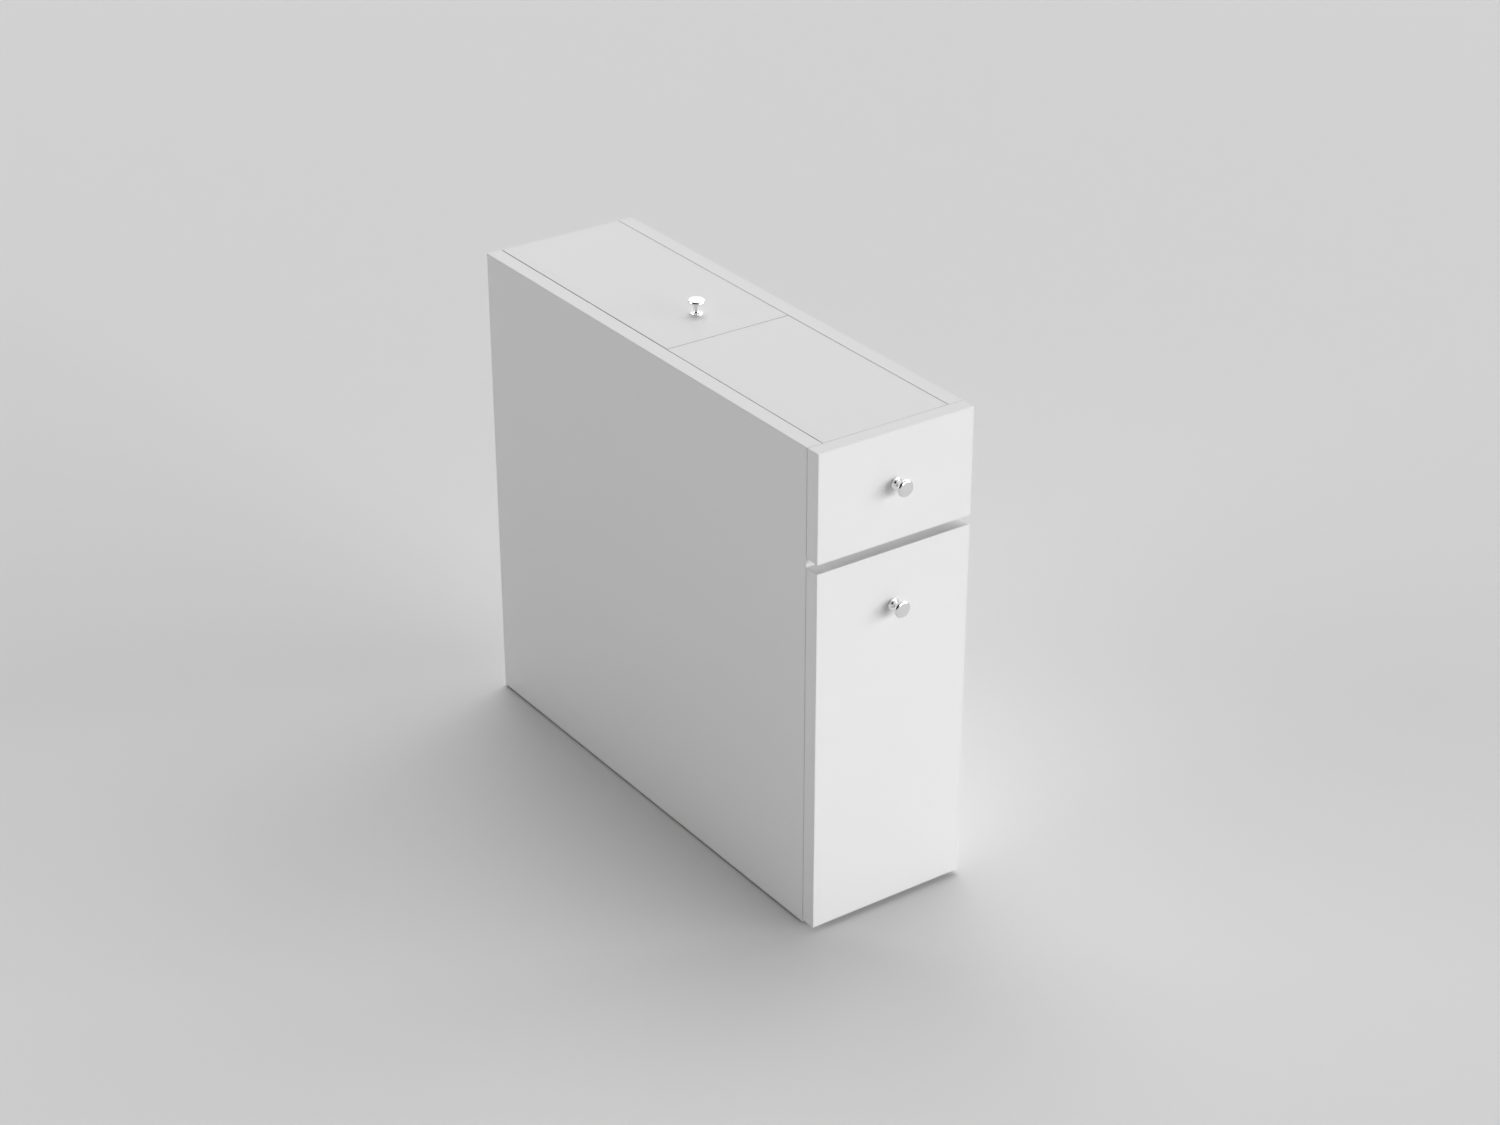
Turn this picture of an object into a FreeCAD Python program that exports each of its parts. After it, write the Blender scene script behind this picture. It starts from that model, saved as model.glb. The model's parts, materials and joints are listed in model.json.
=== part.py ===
import FreeCAD, Part
import os
import re
import Sketcher
from FreeCAD import Placement, Rotation, Vector

# Slim bathroom cabinet with a drawer, a tall pull-out and a lift-up lid.
# Millimetres. The carcass datum is on the floor, on the centre line, at the
# front edges of the side panels: x runs to the right, y to the wall, z up.
# Every piece is placed from that datum, and the row's origin lies under the
# middle of the whole cabinet, knobs included.

# Every size that can be set by itself
SIZES = {
    # Whole cabinet
    "cabinet_width": 190,
    "cabinet_height": 550,
    "side_depth": 600,
    "board_thickness": 18,
    "board_edge_radius": 0.6,
    # Fronts, which overlay the side panels
    "front_thickness": 18,
    "front_gap": 0.6,
    "front_split_gap": 10,
    "drawer_front_height": 120,
    "pullout_front_clearance": 5,
    # Top: fixed panel in front, lid behind, both flush between the sides
    "seam_depth": 270,
    "seam_gap": 0.4,
    "top_side_gap": 0.5,
    "lid_gap_left": 0.9,
    "lid_gap_right": 0.5,
    # Lid pivot and rest
    "lid_pin_inset": 10,
    "lid_pin_diameter": 5.9,
    "lid_pin_length": 24,
    "lid_pin_seat": 10,
    "lid_pin_bevel": 0.5,
    "lid_bush_diameter": 10,
    "lid_bush_end_room": 2,
    "lid_swing_clearance": 0.6,
    "batten_width": 18,
    "batten_height": 18,
    "bumper_diameter": 10,
    "bumper_height": 0.8,
    "bumper_gap": 0.2,
    "bumper_inset": 25,
    # Carcass boards
    "bottom_clearance": 15,
    # Fits
    "fixed_clearance": 0.05,
    "running_clearance": 0.05,
    "hole_clearance": 0.3,
    "overrun": 2,
    # Cam fittings: a bolt in one board, drawn up by a cam in the other
    "cam_diameter": 15,
    "cam_length": 12.5,
    "cam_reach": 34,
    "small_cam_diameter": 12,
    "small_cam_length": 9.3,
    "small_cam_reach": 24,
    "cam_recess": 0.3,
    "cam_slot_arm": 4,
    "cam_slot_width": 1.2,
    "cam_slot_depth": 1.5,
    "bolt_thread_diameter": 4.9,
    "bolt_thread_length": 10.5,
    "bolt_collar_diameter": 6.4,
    "bolt_collar_length": 1.5,
    "bolt_shank_diameter": 5,
    "bolt_neck_diameter": 3.4,
    "bolt_neck_length": 3,
    "bolt_head_diameter": 5.4,
    "bolt_head_length": 2.6,
    # Dowels
    "dowel_diameter": 8,
    "dowel_length": 30,
    "dowel_seat": 12,
    "dowel_bevel": 0.5,
    "small_dowel_diameter": 6,
    # Screws
    "short_screw_diameter": 3.4,
    "short_screw_length": 10,
    "short_screw_head_diameter": 6,
    "short_screw_head_height": 0.8,
    "long_screw_diameter": 3.4,
    "long_screw_length": 30,
    "long_screw_head_diameter": 6.8,
    "long_screw_head_height": 2.2,
    "screw_head_land": 0.3,
    "screw_tip_length": 3,
    "screw_recess_arm": 1.3,
    "screw_recess_width": 0.6,
    "screw_recess_depth": 1,
    "long_screw_recess_arm": 2,
    # Stations of the carcass fittings, from the near end of each board
    "fitting_end_inset": 40,
    "bottom_fitting_inset": 60,
    "upright_fitting_inset": 75,
    "batten_screw_inset": 32,
    # Floor glides
    "glide_diameter": 15,
    "glide_height": 2,
    "glide_edge_bevel": 0.7,
    "glide_nail_diameter": 1.8,
    "glide_nail_length": 10,
    "glide_inset": 30,
    # Knobs
    "knob_base_diameter": 13.4,
    "knob_base_rim": 1,
    "knob_neck_diameter": 6.4,
    "knob_flare_radius": 2.8,
    "knob_head_diameter": 19,
    "knob_head_rim": 0.8,
    "knob_head_round": 2.8,
    "knob_head_undercut": 0.9,
    "knob_projection": 16.8,
    "knob_screw_diameter": 3.9,
    "knob_screw_length": 26,
    "knob_screw_head_diameter": 8,
    "knob_screw_head_height": 2.2,
    "knob_screw_recess_arm": 2.2,
    "knob_screw_recess_width": 0.9,
    "lid_knob_inset": 58.5,
    "drawer_knob_drop": 57,
    "pullout_knob_drop": 61.5,
    # Roller runners
    "runner_setback": 1,
    "runner_rear_clearance": 1,
    "runner_space": 12.5,
    "runner_sheet": 1.2,
    "runner_channel_height": 19.2,
    "runner_web_clearance": 0.8,
    "runner_lip_clearance": 0.5,
    "runner_screw_front": 37,
    "runner_screw_pitch": 160,
    "rolling_gap": 0.3,
    "roller_top_clearance": 0.9,
    "roller_floor_clearance": 1.2,
    "roller_notch_clearance": 1.5,
    "roller_inset": 12,
    "roller_edge_radius": 0.6,
    "roller_side_gap": 0.2,
    "roller_collar": 1.15,
    "axle_diameter": 4,
    "axle_head_diameter": 6.4,
    "axle_head_length": 0.4,
    "axle_head_clearance": 0.35,
    # Drawer and pull-out boxes
    "box_rear_clearance": 2.6,
    "box_rise": 9,
    "box_side_thickness": 12,
    "box_edge_radius": 0.5,
    "drawer_headroom": 11,
    "pullout_side_height": 200,
    "box_bottom_sheet": 3,
    "box_groove_depth": 6,
    "box_groove_rise": 8,
    "box_groove_clearance": 0.2,
    "box_bottom_screw_inset": 18,
}

# Heights of the fittings of a box, as shares of the height of its sides
DRAWER_CAM_SHARES = [0.44]
PULLOUT_CAM_SHARES = [0.2, 0.65]
DRAWER_DOWEL_SHARES = [0.77]
PULLOUT_DOWEL_SHARES = [0.42]
BOX_SCREW_SHARES = [0.4, 0.8]

# Places worked out from the sizes
HALF_WIDTH = "(cabinet_width / 2)"
HALF_INNER = "(cabinet_width / 2 - board_thickness)"
DATUM_DEPTH = "((side_depth - front_gap - front_thickness - knob_projection) / 2)"
FRONT_BACK = "(-front_gap)"
FRONT_FACE = "(-front_gap - front_thickness)"
TOP_UNDERSIDE = "(cabinet_height - board_thickness)"
TOP_MIDDLE = "(cabinet_height - board_thickness / 2)"
TOP_REAR = "(seam_depth - seam_gap / 2)"
LID_FRONT = "(seam_depth + seam_gap / 2)"
LID_LEFT = f"(-{HALF_INNER} + lid_gap_left)"
LID_RIGHT = f"({HALF_INNER} - lid_gap_right)"
LID_PIN_DEPTH = "(side_depth - lid_pin_inset)"
LID_SWING = "sqrt(lid_pin_inset ^ 2 + (board_thickness / 2) ^ 2)"
BACK_FRONT = "(side_depth - board_thickness)"
BACK_TOP = f"({TOP_MIDDLE} - {LID_SWING} - lid_swing_clearance)"
DIVIDER_FRONT = "(seam_depth - board_thickness)"
BOTTOM_TOP = "(bottom_clearance + board_thickness)"
DRAWER_FRONT_LOW = "(cabinet_height - drawer_front_height)"
PULLOUT_FRONT_TOP = f"({DRAWER_FRONT_LOW} - front_split_gap)"
SHELF_LOW = f"({DRAWER_FRONT_LOW} - front_split_gap / 2 - board_thickness / 2)"
SHELF_TOP = f"({SHELF_LOW} + board_thickness)"
BATTEN_TOP = f"({TOP_UNDERSIDE} - bumper_gap - bumper_height)"
BATTEN_LOW = f"({BATTEN_TOP} - batten_height)"
BOX_HALF = f"({HALF_INNER} - runner_space)"
BOX_INNER_HALF = f"({BOX_HALF} - box_side_thickness)"
BOX_SIDE_MIDDLE = f"({BOX_HALF} - box_side_thickness / 2)"
BOX_REAR = f"({DIVIDER_FRONT} - box_rear_clearance)"
BOX_BACK_MIDDLE = f"({BOX_REAR} - box_side_thickness / 2)"
BOX_LENGTH = f"({BOX_REAR} + front_gap)"
RUNNER_LENGTH = f"({DIVIDER_FRONT} - runner_setback - runner_rear_clearance)"
CHANNEL_REACH = "(runner_space - runner_sheet - runner_web_clearance)"
WEB_REACH = "(runner_space - runner_sheet)"
LIP_REACH = "(runner_sheet + short_screw_head_height + runner_lip_clearance)"
ROLLER_START = "(runner_sheet + short_screw_head_height + axle_head_clearance" \
    " + axle_head_length + roller_side_gap)"
ROLLER_WIDTH = f"({WEB_REACH} - {ROLLER_START} - roller_side_gap - roller_collar)"
LIP_LOW = "(runner_channel_height - runner_lip_clearance - runner_sheet)"
FRONT_ROLLER_RADIUS = f"(({LIP_LOW} - rolling_gap - roller_floor_clearance) / 2)"
REAR_ROLLER_RADIUS = "((runner_channel_height - rolling_gap - roller_top_clearance) / 2)"
FRONT_ROLLER_DEPTH = "(runner_setback + roller_inset)"
REAR_ROLLER_DEPTH = f"({BOX_REAR} - roller_inset)"
LID_BUSH_LENGTH = "(lid_pin_length - lid_pin_seat + lid_bush_end_room)"

X_AXIS = Vector(1, 0, 0)
Y_AXIS = Vector(0, 1, 0)
Z_AXIS = Vector(0, 0, 1)
UPRIGHT = Rotation()
TO_FRONT = Rotation(Z_AXIS, -Y_AXIS)
TO_REAR = Rotation(Z_AXIS, Y_AXIS)
UPSIDE_DOWN = Rotation(X_AXIS, 180)
SIDES = {"left": -1, "right": 1}
PLANE_ROLES = {"x": "YZ_Plane", "y": "XZ_Plane", "z": "XY_Plane"}
WORD = re.compile(r"[a-z][a-z_]*")

doc = FreeCAD.newDocument("bathroom_cabinet")
sheet = doc.addObject("Spreadsheet::Sheet", "sizes")
for row, (size_name, size) in enumerate(SIZES.items(), start=1):
    sheet.set(f"A{row}", size_name)
    sheet.set(f"B{row}", str(size))
    sheet.setAlias(f"B{row}", size_name)
doc.recompute()
nodes = []


def linked(expression):
    """The expression, with each size's name pointed at the sheet."""
    return WORD.sub(
        lambda word: f"sizes.{word.group()}" if word.group() in SIZES else word.group(),
        str(expression),
    )


def value(expression):
    """What an expression comes to, in millimetres."""
    return float(sheet.evalExpression(linked(expression)))


def from_side(side, distance):
    """A width that lies a distance in from one side panel's inner face."""
    return f"{side} * ({HALF_INNER} - ({distance}))"


def inward(side):
    """Direction from a side panel to the middle of the cabinet."""
    return X_AXIS * -side


def new_body(name):
    """An empty body that becomes the node of that name."""
    body = doc.addObject("PartDesign::Body", name)
    body.Label = name
    return body


def new_sketch(body, axis, at):
    """A sketch square to an axis, at a distance along it."""
    sketch = body.newObject("Sketcher::SketchObject", "sketch")
    planes = body.Origin.OriginFeatures
    plane = next(plane for plane in planes if plane.Role == PLANE_ROLES[axis])
    sketch.AttachmentSupport = [(plane, "")]
    sketch.MapMode = "FlatFace"
    normal_sign = -1 if axis == "y" else 1
    sketch.setExpression("AttachmentOffset.Base.z", linked(f"{normal_sign} * ({at})"))
    return sketch


def hold_point(sketch, geometry, vertex, point):
    """Hold one point of a sketch at its distances from the sketch's origin."""
    for kind, distance in zip(("DistanceX", "DistanceY"), point):
        constraint = Sketcher.Constraint(kind, -1, 1, geometry, vertex, value(distance))
        index = sketch.addConstraint(constraint)
        sketch.setExpression(f"Constraints[{index}]", linked(distance))


def arc_between(start, end, radius, turn):
    """The short arc from start to end; turn is 1 anticlockwise, -1 clockwise."""
    chord = end - start
    middle = start + chord * 0.5
    sideways = Vector(-chord.y, chord.x, 0).normalize()
    rise = max(radius ** 2 - (chord.Length / 2) ** 2, 0) ** 0.5
    circle = Part.Circle(middle + sideways * rise * turn, Z_AXIS, radius)
    first, last = (start, end) if turn > 0 else (end, start)
    return Part.ArcOfCircle(circle, circle.parameter(first), circle.parameter(last))


def outline(body, axis, at, points, arcs=None):
    """A closed outline; arcs gives (radius, turn) for the stretch after a point."""
    sketch = new_sketch(body, axis, at)
    arcs = arcs or {}
    corners = [Vector(value(first), value(second), 0) for first, second in points]
    count = len(corners)
    ends = []
    for index, start in enumerate(corners):
        end = corners[(index + 1) % count]
        radius, turn = arcs.get(index, (None, 1))
        ends.append((1, 2) if turn > 0 else (2, 1))
        if radius is None:
            sketch.addGeometry(Part.LineSegment(start, end), False)
        else:
            sketch.addGeometry(arc_between(start, end, value(radius), turn), False)
    for index in range(count):
        following = (index + 1) % count
        sketch.addConstraint(
            Sketcher.Constraint("Coincident", index, ends[index][1], following, ends[following][0])
        )
        hold_point(sketch, index, ends[index][0], points[index])
    for index, (radius, turn) in arcs.items():
        constraint = sketch.addConstraint(Sketcher.Constraint("Radius", index, value(radius)))
        sketch.setExpression(f"Constraints[{constraint}]", linked(radius))
    return sketch


def circles(body, axis, at, centres, diameter):
    """A sketch of equal circles."""
    sketch = new_sketch(body, axis, at)
    for index, centre in enumerate(centres):
        middle = Vector(value(centre[0]), value(centre[1]), 0)
        sketch.addGeometry(Part.Circle(middle, Z_AXIS, value(diameter) / 2), False)
        hold_point(sketch, index, 3, centre)
        size = sketch.addConstraint(Sketcher.Constraint("Diameter", index, value(diameter)))
        sketch.setExpression(f"Constraints[{size}]", linked(diameter))
    return sketch


def rectangle(low, high):
    """The corners of a rectangle between two opposite corners."""
    return [low, (high[0], low[1]), high, (low[0], high[1])]


def pad(body, axis, sketch, length, toward=1):
    """Raise a sketch along an axis; toward is 1 with the axis, -1 against it."""
    feature = body.newObject("PartDesign::Pad", "pad")
    feature.Profile = sketch
    feature.Reversed = (toward < 0) != (axis == "y")
    feature.setExpression("Length", linked(length))
    return feature


def pocket(body, axis, sketch, depth, toward):
    """Cut a sketch into a body along an axis, with it (1) or against it (-1)."""
    feature = body.newObject("PartDesign::Pocket", "pocket")
    feature.Profile = sketch
    feature.Reversed = (toward > 0) != (axis == "y")
    feature.setExpression("Length", linked(depth))
    return feature


def bore(body, axis, at, toward, centres, diameter, depth):
    """Drill equal holes from one plane of a body."""
    pocket(body, axis, circles(body, axis, at, centres, diameter), depth, toward)


def post(body, axis, at, toward, centre, steps):
    """Build up a stepped round post; steps are (diameter, length) in turn."""
    base = at
    for diameter, length in steps:
        pad(body, axis, circles(body, axis, base, [centre], diameter), length, toward)
        base = f"({base} + {toward} * ({length}))"


def round_edges(body, feature, radius):
    """Round every edge that a body has so far."""
    fillet = body.newObject("PartDesign::Fillet", "edges")
    fillet.Base = (feature, [])
    fillet.UseAllEdges = True
    fillet.setExpression("Radius", linked(radius))


def turned(body, points, arcs=None):
    """Turn a half profile, in radius and height, about the body's z axis."""
    feature = body.newObject("PartDesign::Revolution", "turned")
    profile = outline(body, "y", "0", points, arcs)
    feature.Profile = profile
    feature.ReferenceAxis = (profile, ["V_Axis"])
    feature.Angle = 360
    return feature


def cross_recess(body, top, arm, width, depth):
    """Sink a cross for a driver into the top of a fastener."""
    for along, across in ((arm, f"{width} / 2"), (f"{width} / 2", arm)):
        shape = rectangle((f"-({along})", f"-({across})"), (along, across))
        pocket(body, "z", outline(body, "z", top, shape), depth, -1)


def board(name, thick, low, high, radius=None):
    """A flat board between two corners; thick is the axis through its thickness."""
    body = new_body(name)
    through = "xyz".index(thick)
    first, second = (index for index in range(3) if index != through)
    shape = rectangle((low[first], low[second]), (high[first], high[second]))
    sketch = outline(body, thick, low[through], shape)
    slab = pad(body, thick, sketch, f"({high[through]}) - ({low[through]})")
    if radius is not None:
        round_edges(body, slab, radius)
    return body


def place(piece, x="0", y="0", z="0", turn=UPRIGHT):
    """Put a node at its place, given from the carcass datum."""
    piece.Placement = Placement(Vector(), turn)
    for axis, distance in zip("xyz", (x, f"{y} - {DATUM_DEPTH}", z)):
        piece.setExpression(f"Placement.Base.{axis}", linked(distance))
    nodes.append(piece)


def seat(x, y, z, turn):
    """The place of one fastener of a group."""
    return Placement(Vector(value(x), value(y), value(z)), turn)


def fastener_group(name, pattern, seats):
    """One node of identical fasteners, each a solid of its own."""
    doc.recompute()
    copies = []
    for where in seats:
        copy = pattern.Shape.copy()
        copy.Placement = where
        copies.append(copy)
    group = doc.addObject("Part::Feature", name)
    group.Label = name
    group.Shape = Part.makeCompound(copies)
    place(group)


# Patterns of the fasteners

def cam_lock(name, diameter, length, board_depth):
    """A cam, sunk in a board's face (z 0), whose slot takes the bolt from -x."""
    body = new_body(name)
    radius = f"({diameter}) / 2 - fixed_clearance"
    pad(body, "z", circles(body, "z", "-cam_recess", [("0", "0")], f"2 * ({radius})"), length, -1)
    half_slot = "(bolt_head_diameter / 2 + hole_clearance)"
    low = (f"-{half_slot}", f"-cam_recess - {length} - overrun")
    high = (half_slot, f"-({board_depth}) / 2 + {half_slot}")
    slot = outline(body, "x", f"-({radius}) - overrun", rectangle(low, high))
    pocket(body, "x", slot, f"{radius} + overrun + bolt_head_length", 1)
    cross_recess(body, "-cam_recess", "cam_slot_arm", "cam_slot_width", "cam_slot_depth")
    return body


def cam_bolt(name, reach):
    """A bolt whose thread is below z 0 and whose head stands reach above it."""
    body = new_body(name)
    head_low = f"({reach} - bolt_head_length / 2)"
    neck_low = f"({head_low} - bolt_neck_length)"
    turned(body, [
        ("0", "-bolt_thread_length"),
        ("bolt_thread_diameter / 2", "-bolt_thread_length"),
        ("bolt_thread_diameter / 2", "0"),
        ("bolt_collar_diameter / 2", "0"),
        ("bolt_collar_diameter / 2", "bolt_collar_length"),
        ("bolt_shank_diameter / 2", "bolt_collar_length"),
        ("bolt_shank_diameter / 2", neck_low),
        ("bolt_neck_diameter / 2", neck_low),
        ("bolt_neck_diameter / 2", head_low),
        ("bolt_head_diameter / 2", head_low),
        ("bolt_head_diameter / 2", f"{head_low} + bolt_head_length"),
        ("0", f"{head_low} + bolt_head_length"),
    ])
    return body


def bevelled_rod(radius, low, high, bevel):
    """The half profile of a rod with bevelled ends."""
    return [
        ("0", low),
        (f"{radius} - {bevel}", low),
        (radius, f"{low} + {bevel}"),
        (radius, f"{high} - {bevel}"),
        (f"{radius} - {bevel}", high),
        ("0", high),
    ]


def dowel(name, diameter):
    """A wood dowel with its seat below z 0 and the rest above it."""
    body = new_body(name)
    radius = f"({diameter} / 2 - fixed_clearance)"
    low = "-dowel_seat + hole_clearance"
    high = "dowel_length - dowel_seat - hole_clearance"
    turned(body, bevelled_rod(radius, low, high, "dowel_bevel"))
    return body


def short_screw():
    """A flat-headed screw, its head on z 0 and its shank below."""
    body = new_body("short_screw_pattern")
    radius = "short_screw_diameter / 2"
    turned(body, [
        ("0", "-short_screw_length"),
        (radius, "-short_screw_length + screw_tip_length"),
        (radius, "0"),
        ("short_screw_head_diameter / 2", "0"),
        ("short_screw_head_diameter / 2", "screw_head_land"),
        (f"{radius} + screw_head_land", "short_screw_head_height"),
        ("0", "short_screw_head_height"),
    ])
    cross_recess(
        body, "short_screw_head_height",
        "screw_recess_arm", "screw_recess_width", "screw_recess_depth",
    )
    return body


def long_screw():
    """A countersunk screw, the top of its head at z 0 and its shank below."""
    body = new_body("long_screw_pattern")
    radius = "long_screw_diameter / 2"
    turned(body, [
        ("0", "-long_screw_length"),
        (radius, "-long_screw_length + screw_tip_length"),
        (radius, "-long_screw_head_height"),
        ("long_screw_head_diameter / 2", "-screw_head_land"),
        ("long_screw_head_diameter / 2", "0"),
        ("0", "0"),
    ])
    cross_recess(
        body, "0", "long_screw_recess_arm", "screw_recess_width", "screw_recess_depth",
    )
    return body


def floor_glide():
    """A nailed glide that stands on z 0, with its nail upwards."""
    body = new_body("floor_glide_pattern")
    radius = "glide_diameter / 2"
    nail = "glide_nail_diameter / 2"
    turned(body, [
        ("0", "0"),
        (f"{radius} - glide_edge_bevel", "0"),
        (radius, "glide_edge_bevel"),
        (radius, "glide_height"),
        (nail, "glide_height"),
        (nail, "glide_height + glide_nail_length - glide_nail_diameter"),
        ("0", "glide_height + glide_nail_length"),
    ])
    return body


def lid_bumper():
    """A thin round buffer that stands on z 0."""
    body = new_body("lid_bumper_pattern")
    bevel = "bumper_height / 4"
    turned(body, [
        ("0", "0"),
        ("bumper_diameter / 2", "0"),
        ("bumper_diameter / 2", f"bumper_height - {bevel}"),
        (f"bumper_diameter / 2 - {bevel}", "bumper_height"),
        ("0", "bumper_height"),
    ])
    return body


def pivot_pin():
    """A steel pin: its seat in the side panel is below z 0."""
    body = new_body("pivot_pin_pattern")
    low = "-lid_pin_seat"
    high = "lid_pin_length - lid_pin_seat"
    turned(body, bevelled_rod("lid_pin_diameter / 2", low, high, "lid_pin_bevel"))
    return body


def pivot_bush():
    """A nylon bush, from the lid's edge (z 0) into the lid."""
    body = new_body("pivot_bush_pattern")
    inner = "(lid_pin_diameter / 2 + running_clearance)"
    outer = "(lid_bush_diameter / 2 - fixed_clearance)"
    turned(body, rectangle((inner, "0"), (outer, LID_BUSH_LENGTH)))
    return body


# Carcass

class EndJoint:
    """The fittings that hold both ends of one carcass board to the sides."""

    def __init__(self, piece, along, middle, face, outward, cams, dowels):
        self.piece = piece
        self.along = along
        self.middle = middle
        self.face = face
        self.outward = outward
        self.cams = cams
        self.dowels = dowels

    def point(self, station):
        """Depth and height of a station along the board's end."""
        return (station, self.middle) if self.along == "y" else (self.middle, station)

    def drill(self):
        """Drill the board's ends and its cam holes."""
        cam_points = [self.point(station) for station in self.cams]
        dowel_points = [self.point(station) for station in self.dowels]
        for side in SIDES.values():
            joint_plane = f"{side} * {HALF_INNER}"
            bore(self.piece, "x", joint_plane, -side, cam_points,
                 "bolt_collar_diameter + 2 * hole_clearance", "cam_reach")
            bore(self.piece, "x", joint_plane, -side, dowel_points,
                 "dowel_diameter", "dowel_length - dowel_seat")
        centres = [
            (f"{side} * ({HALF_INNER} - cam_reach)", station)
            for side in SIDES.values() for station in self.cams
        ]
        across = "z" if self.along == "y" else "y"
        bore(self.piece, across, self.face, -self.outward, centres,
             "cam_diameter", "cam_recess + cam_length + hole_clearance")

    def end_seats(self, stations):
        """Seats on the side panels, each facing the middle."""
        return [
            seat(f"{side} * {HALF_INNER}", *self.point(station), Rotation(Z_AXIS, inward(side)))
            for side in SIDES.values() for station in stations
        ]

    def cam_seats(self):
        """Seats of the cams in the board's face, each turned to its bolt."""
        outward = (Z_AXIS if self.along == "y" else Y_AXIS) * self.outward
        seats = []
        for side in SIDES.values():
            turn = Rotation(inward(side), Vector(), outward, "ZXY")
            for station in self.cams:
                face_point = (station, self.face) if self.along == "y" else (self.face, station)
                seats.append(seat(f"{side} * ({HALF_INNER} - cam_reach)", *face_point, turn))
        return seats


def horizontal_board(name, low, high, cams, dowels, side_gap="0"):
    """A board that lies between the sides, with its cams underneath."""
    body = board(name, "z", (f"-{HALF_INNER} + {side_gap}", low[0], low[1]),
                 (f"{HALF_INNER} - {side_gap}", high[0], high[1]), "board_edge_radius")
    middle = f"({low[1]} + {high[1]}) / 2"
    joint = EndJoint(body, "y", middle, low[1], -1, cams, dowels)
    joint.drill()
    return joint


def upright_board(name, low, high, outward, cams, dowels):
    """A board that stands between the sides, with its cams in one face."""
    body = board(name, "y", (f"-{HALF_INNER}", low[0], low[1]),
                 (HALF_INNER, high[0], high[1]), "board_edge_radius")
    middle = f"({low[0]} + {high[0]}) / 2"
    face = high[0] if outward > 0 else low[0]
    joint = EndJoint(body, "z", middle, face, outward, cams, dowels)
    joint.drill()
    return joint


def top_panel():
    """The fixed front half of the top."""
    return horizontal_board(
        "top_panel", ("0", TOP_UNDERSIDE), (TOP_REAR, "cabinet_height"),
        ["fitting_end_inset", f"{DIVIDER_FRONT} - fitting_end_inset / 2"],
        [f"{DIVIDER_FRONT} / 2"], "top_side_gap",
    )


def drawer_shelf():
    """The shelf under the drawer, behind the gap between the fronts."""
    return horizontal_board(
        "drawer_shelf", ("0", SHELF_LOW), (DIVIDER_FRONT, SHELF_TOP),
        ["fitting_end_inset", f"{DIVIDER_FRONT} - fitting_end_inset"],
        [f"{DIVIDER_FRONT} / 2"],
    )


def bottom_panel():
    """The board near the floor that all else stands on."""
    return horizontal_board(
        "bottom_panel", ("0", "bottom_clearance"), (BACK_FRONT, BOTTOM_TOP),
        ["bottom_fitting_inset", f"{BACK_FRONT} - bottom_fitting_inset"],
        [f"{BACK_FRONT} / 3", f"{BACK_FRONT} * 2 / 3"],
    )


def back_panel():
    """The back, low enough for the lid's rear edge to swing over it."""
    return upright_board(
        "back_panel", (BACK_FRONT, "bottom_clearance"), ("side_depth", BACK_TOP), 1,
        ["bottom_clearance + upright_fitting_inset", f"{BACK_TOP} - upright_fitting_inset"],
        [f"(bottom_clearance + {BACK_TOP}) / 2"],
    )


def divider_panel():
    """The wall between the drawers and the compartment under the lid."""
    joint = upright_board(
        "divider_panel", (DIVIDER_FRONT, BOTTOM_TOP), ("seam_depth", TOP_UNDERSIDE), -1,
        [f"{BOTTOM_TOP} + upright_fitting_inset", f"{SHELF_TOP} + fitting_end_inset"],
        [f"({BOTTOM_TOP} + {SHELF_TOP}) / 2"],
    )
    head = "long_screw_head_diameter + 2 * fixed_clearance"
    shank = "long_screw_diameter + 2 * fixed_clearance"
    bore(joint.piece, "y", DIVIDER_FRONT, 1, batten_screw_points(), head, "long_screw_head_height")
    bore(joint.piece, "y", DIVIDER_FRONT, 1, batten_screw_points(), shank,
         "board_thickness + overrun")
    return joint


def batten_screw_points():
    """Where the two screws of the batten are, in width and height."""
    return [
        (f"{side} * ({HALF_INNER} - batten_screw_inset)", f"{BATTEN_LOW} + batten_height / 2")
        for side in SIDES.values()
    ]


def lid_rest_batten():
    """The batten behind the divider that carries the lid's front edge."""
    body = board("lid_rest_batten", "z", (f"-{HALF_INNER}", "seam_depth", BATTEN_LOW),
                 (HALF_INNER, "seam_depth + batten_width", BATTEN_TOP), "board_edge_radius")
    bore(body, "y", "seam_depth", 1, batten_screw_points(),
         "long_screw_diameter + 2 * fixed_clearance", "long_screw_length - board_thickness")
    place(body)


def glide_depths():
    """Depths of the two glides under each side panel."""
    return ["glide_inset", "side_depth - glide_inset"]


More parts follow.
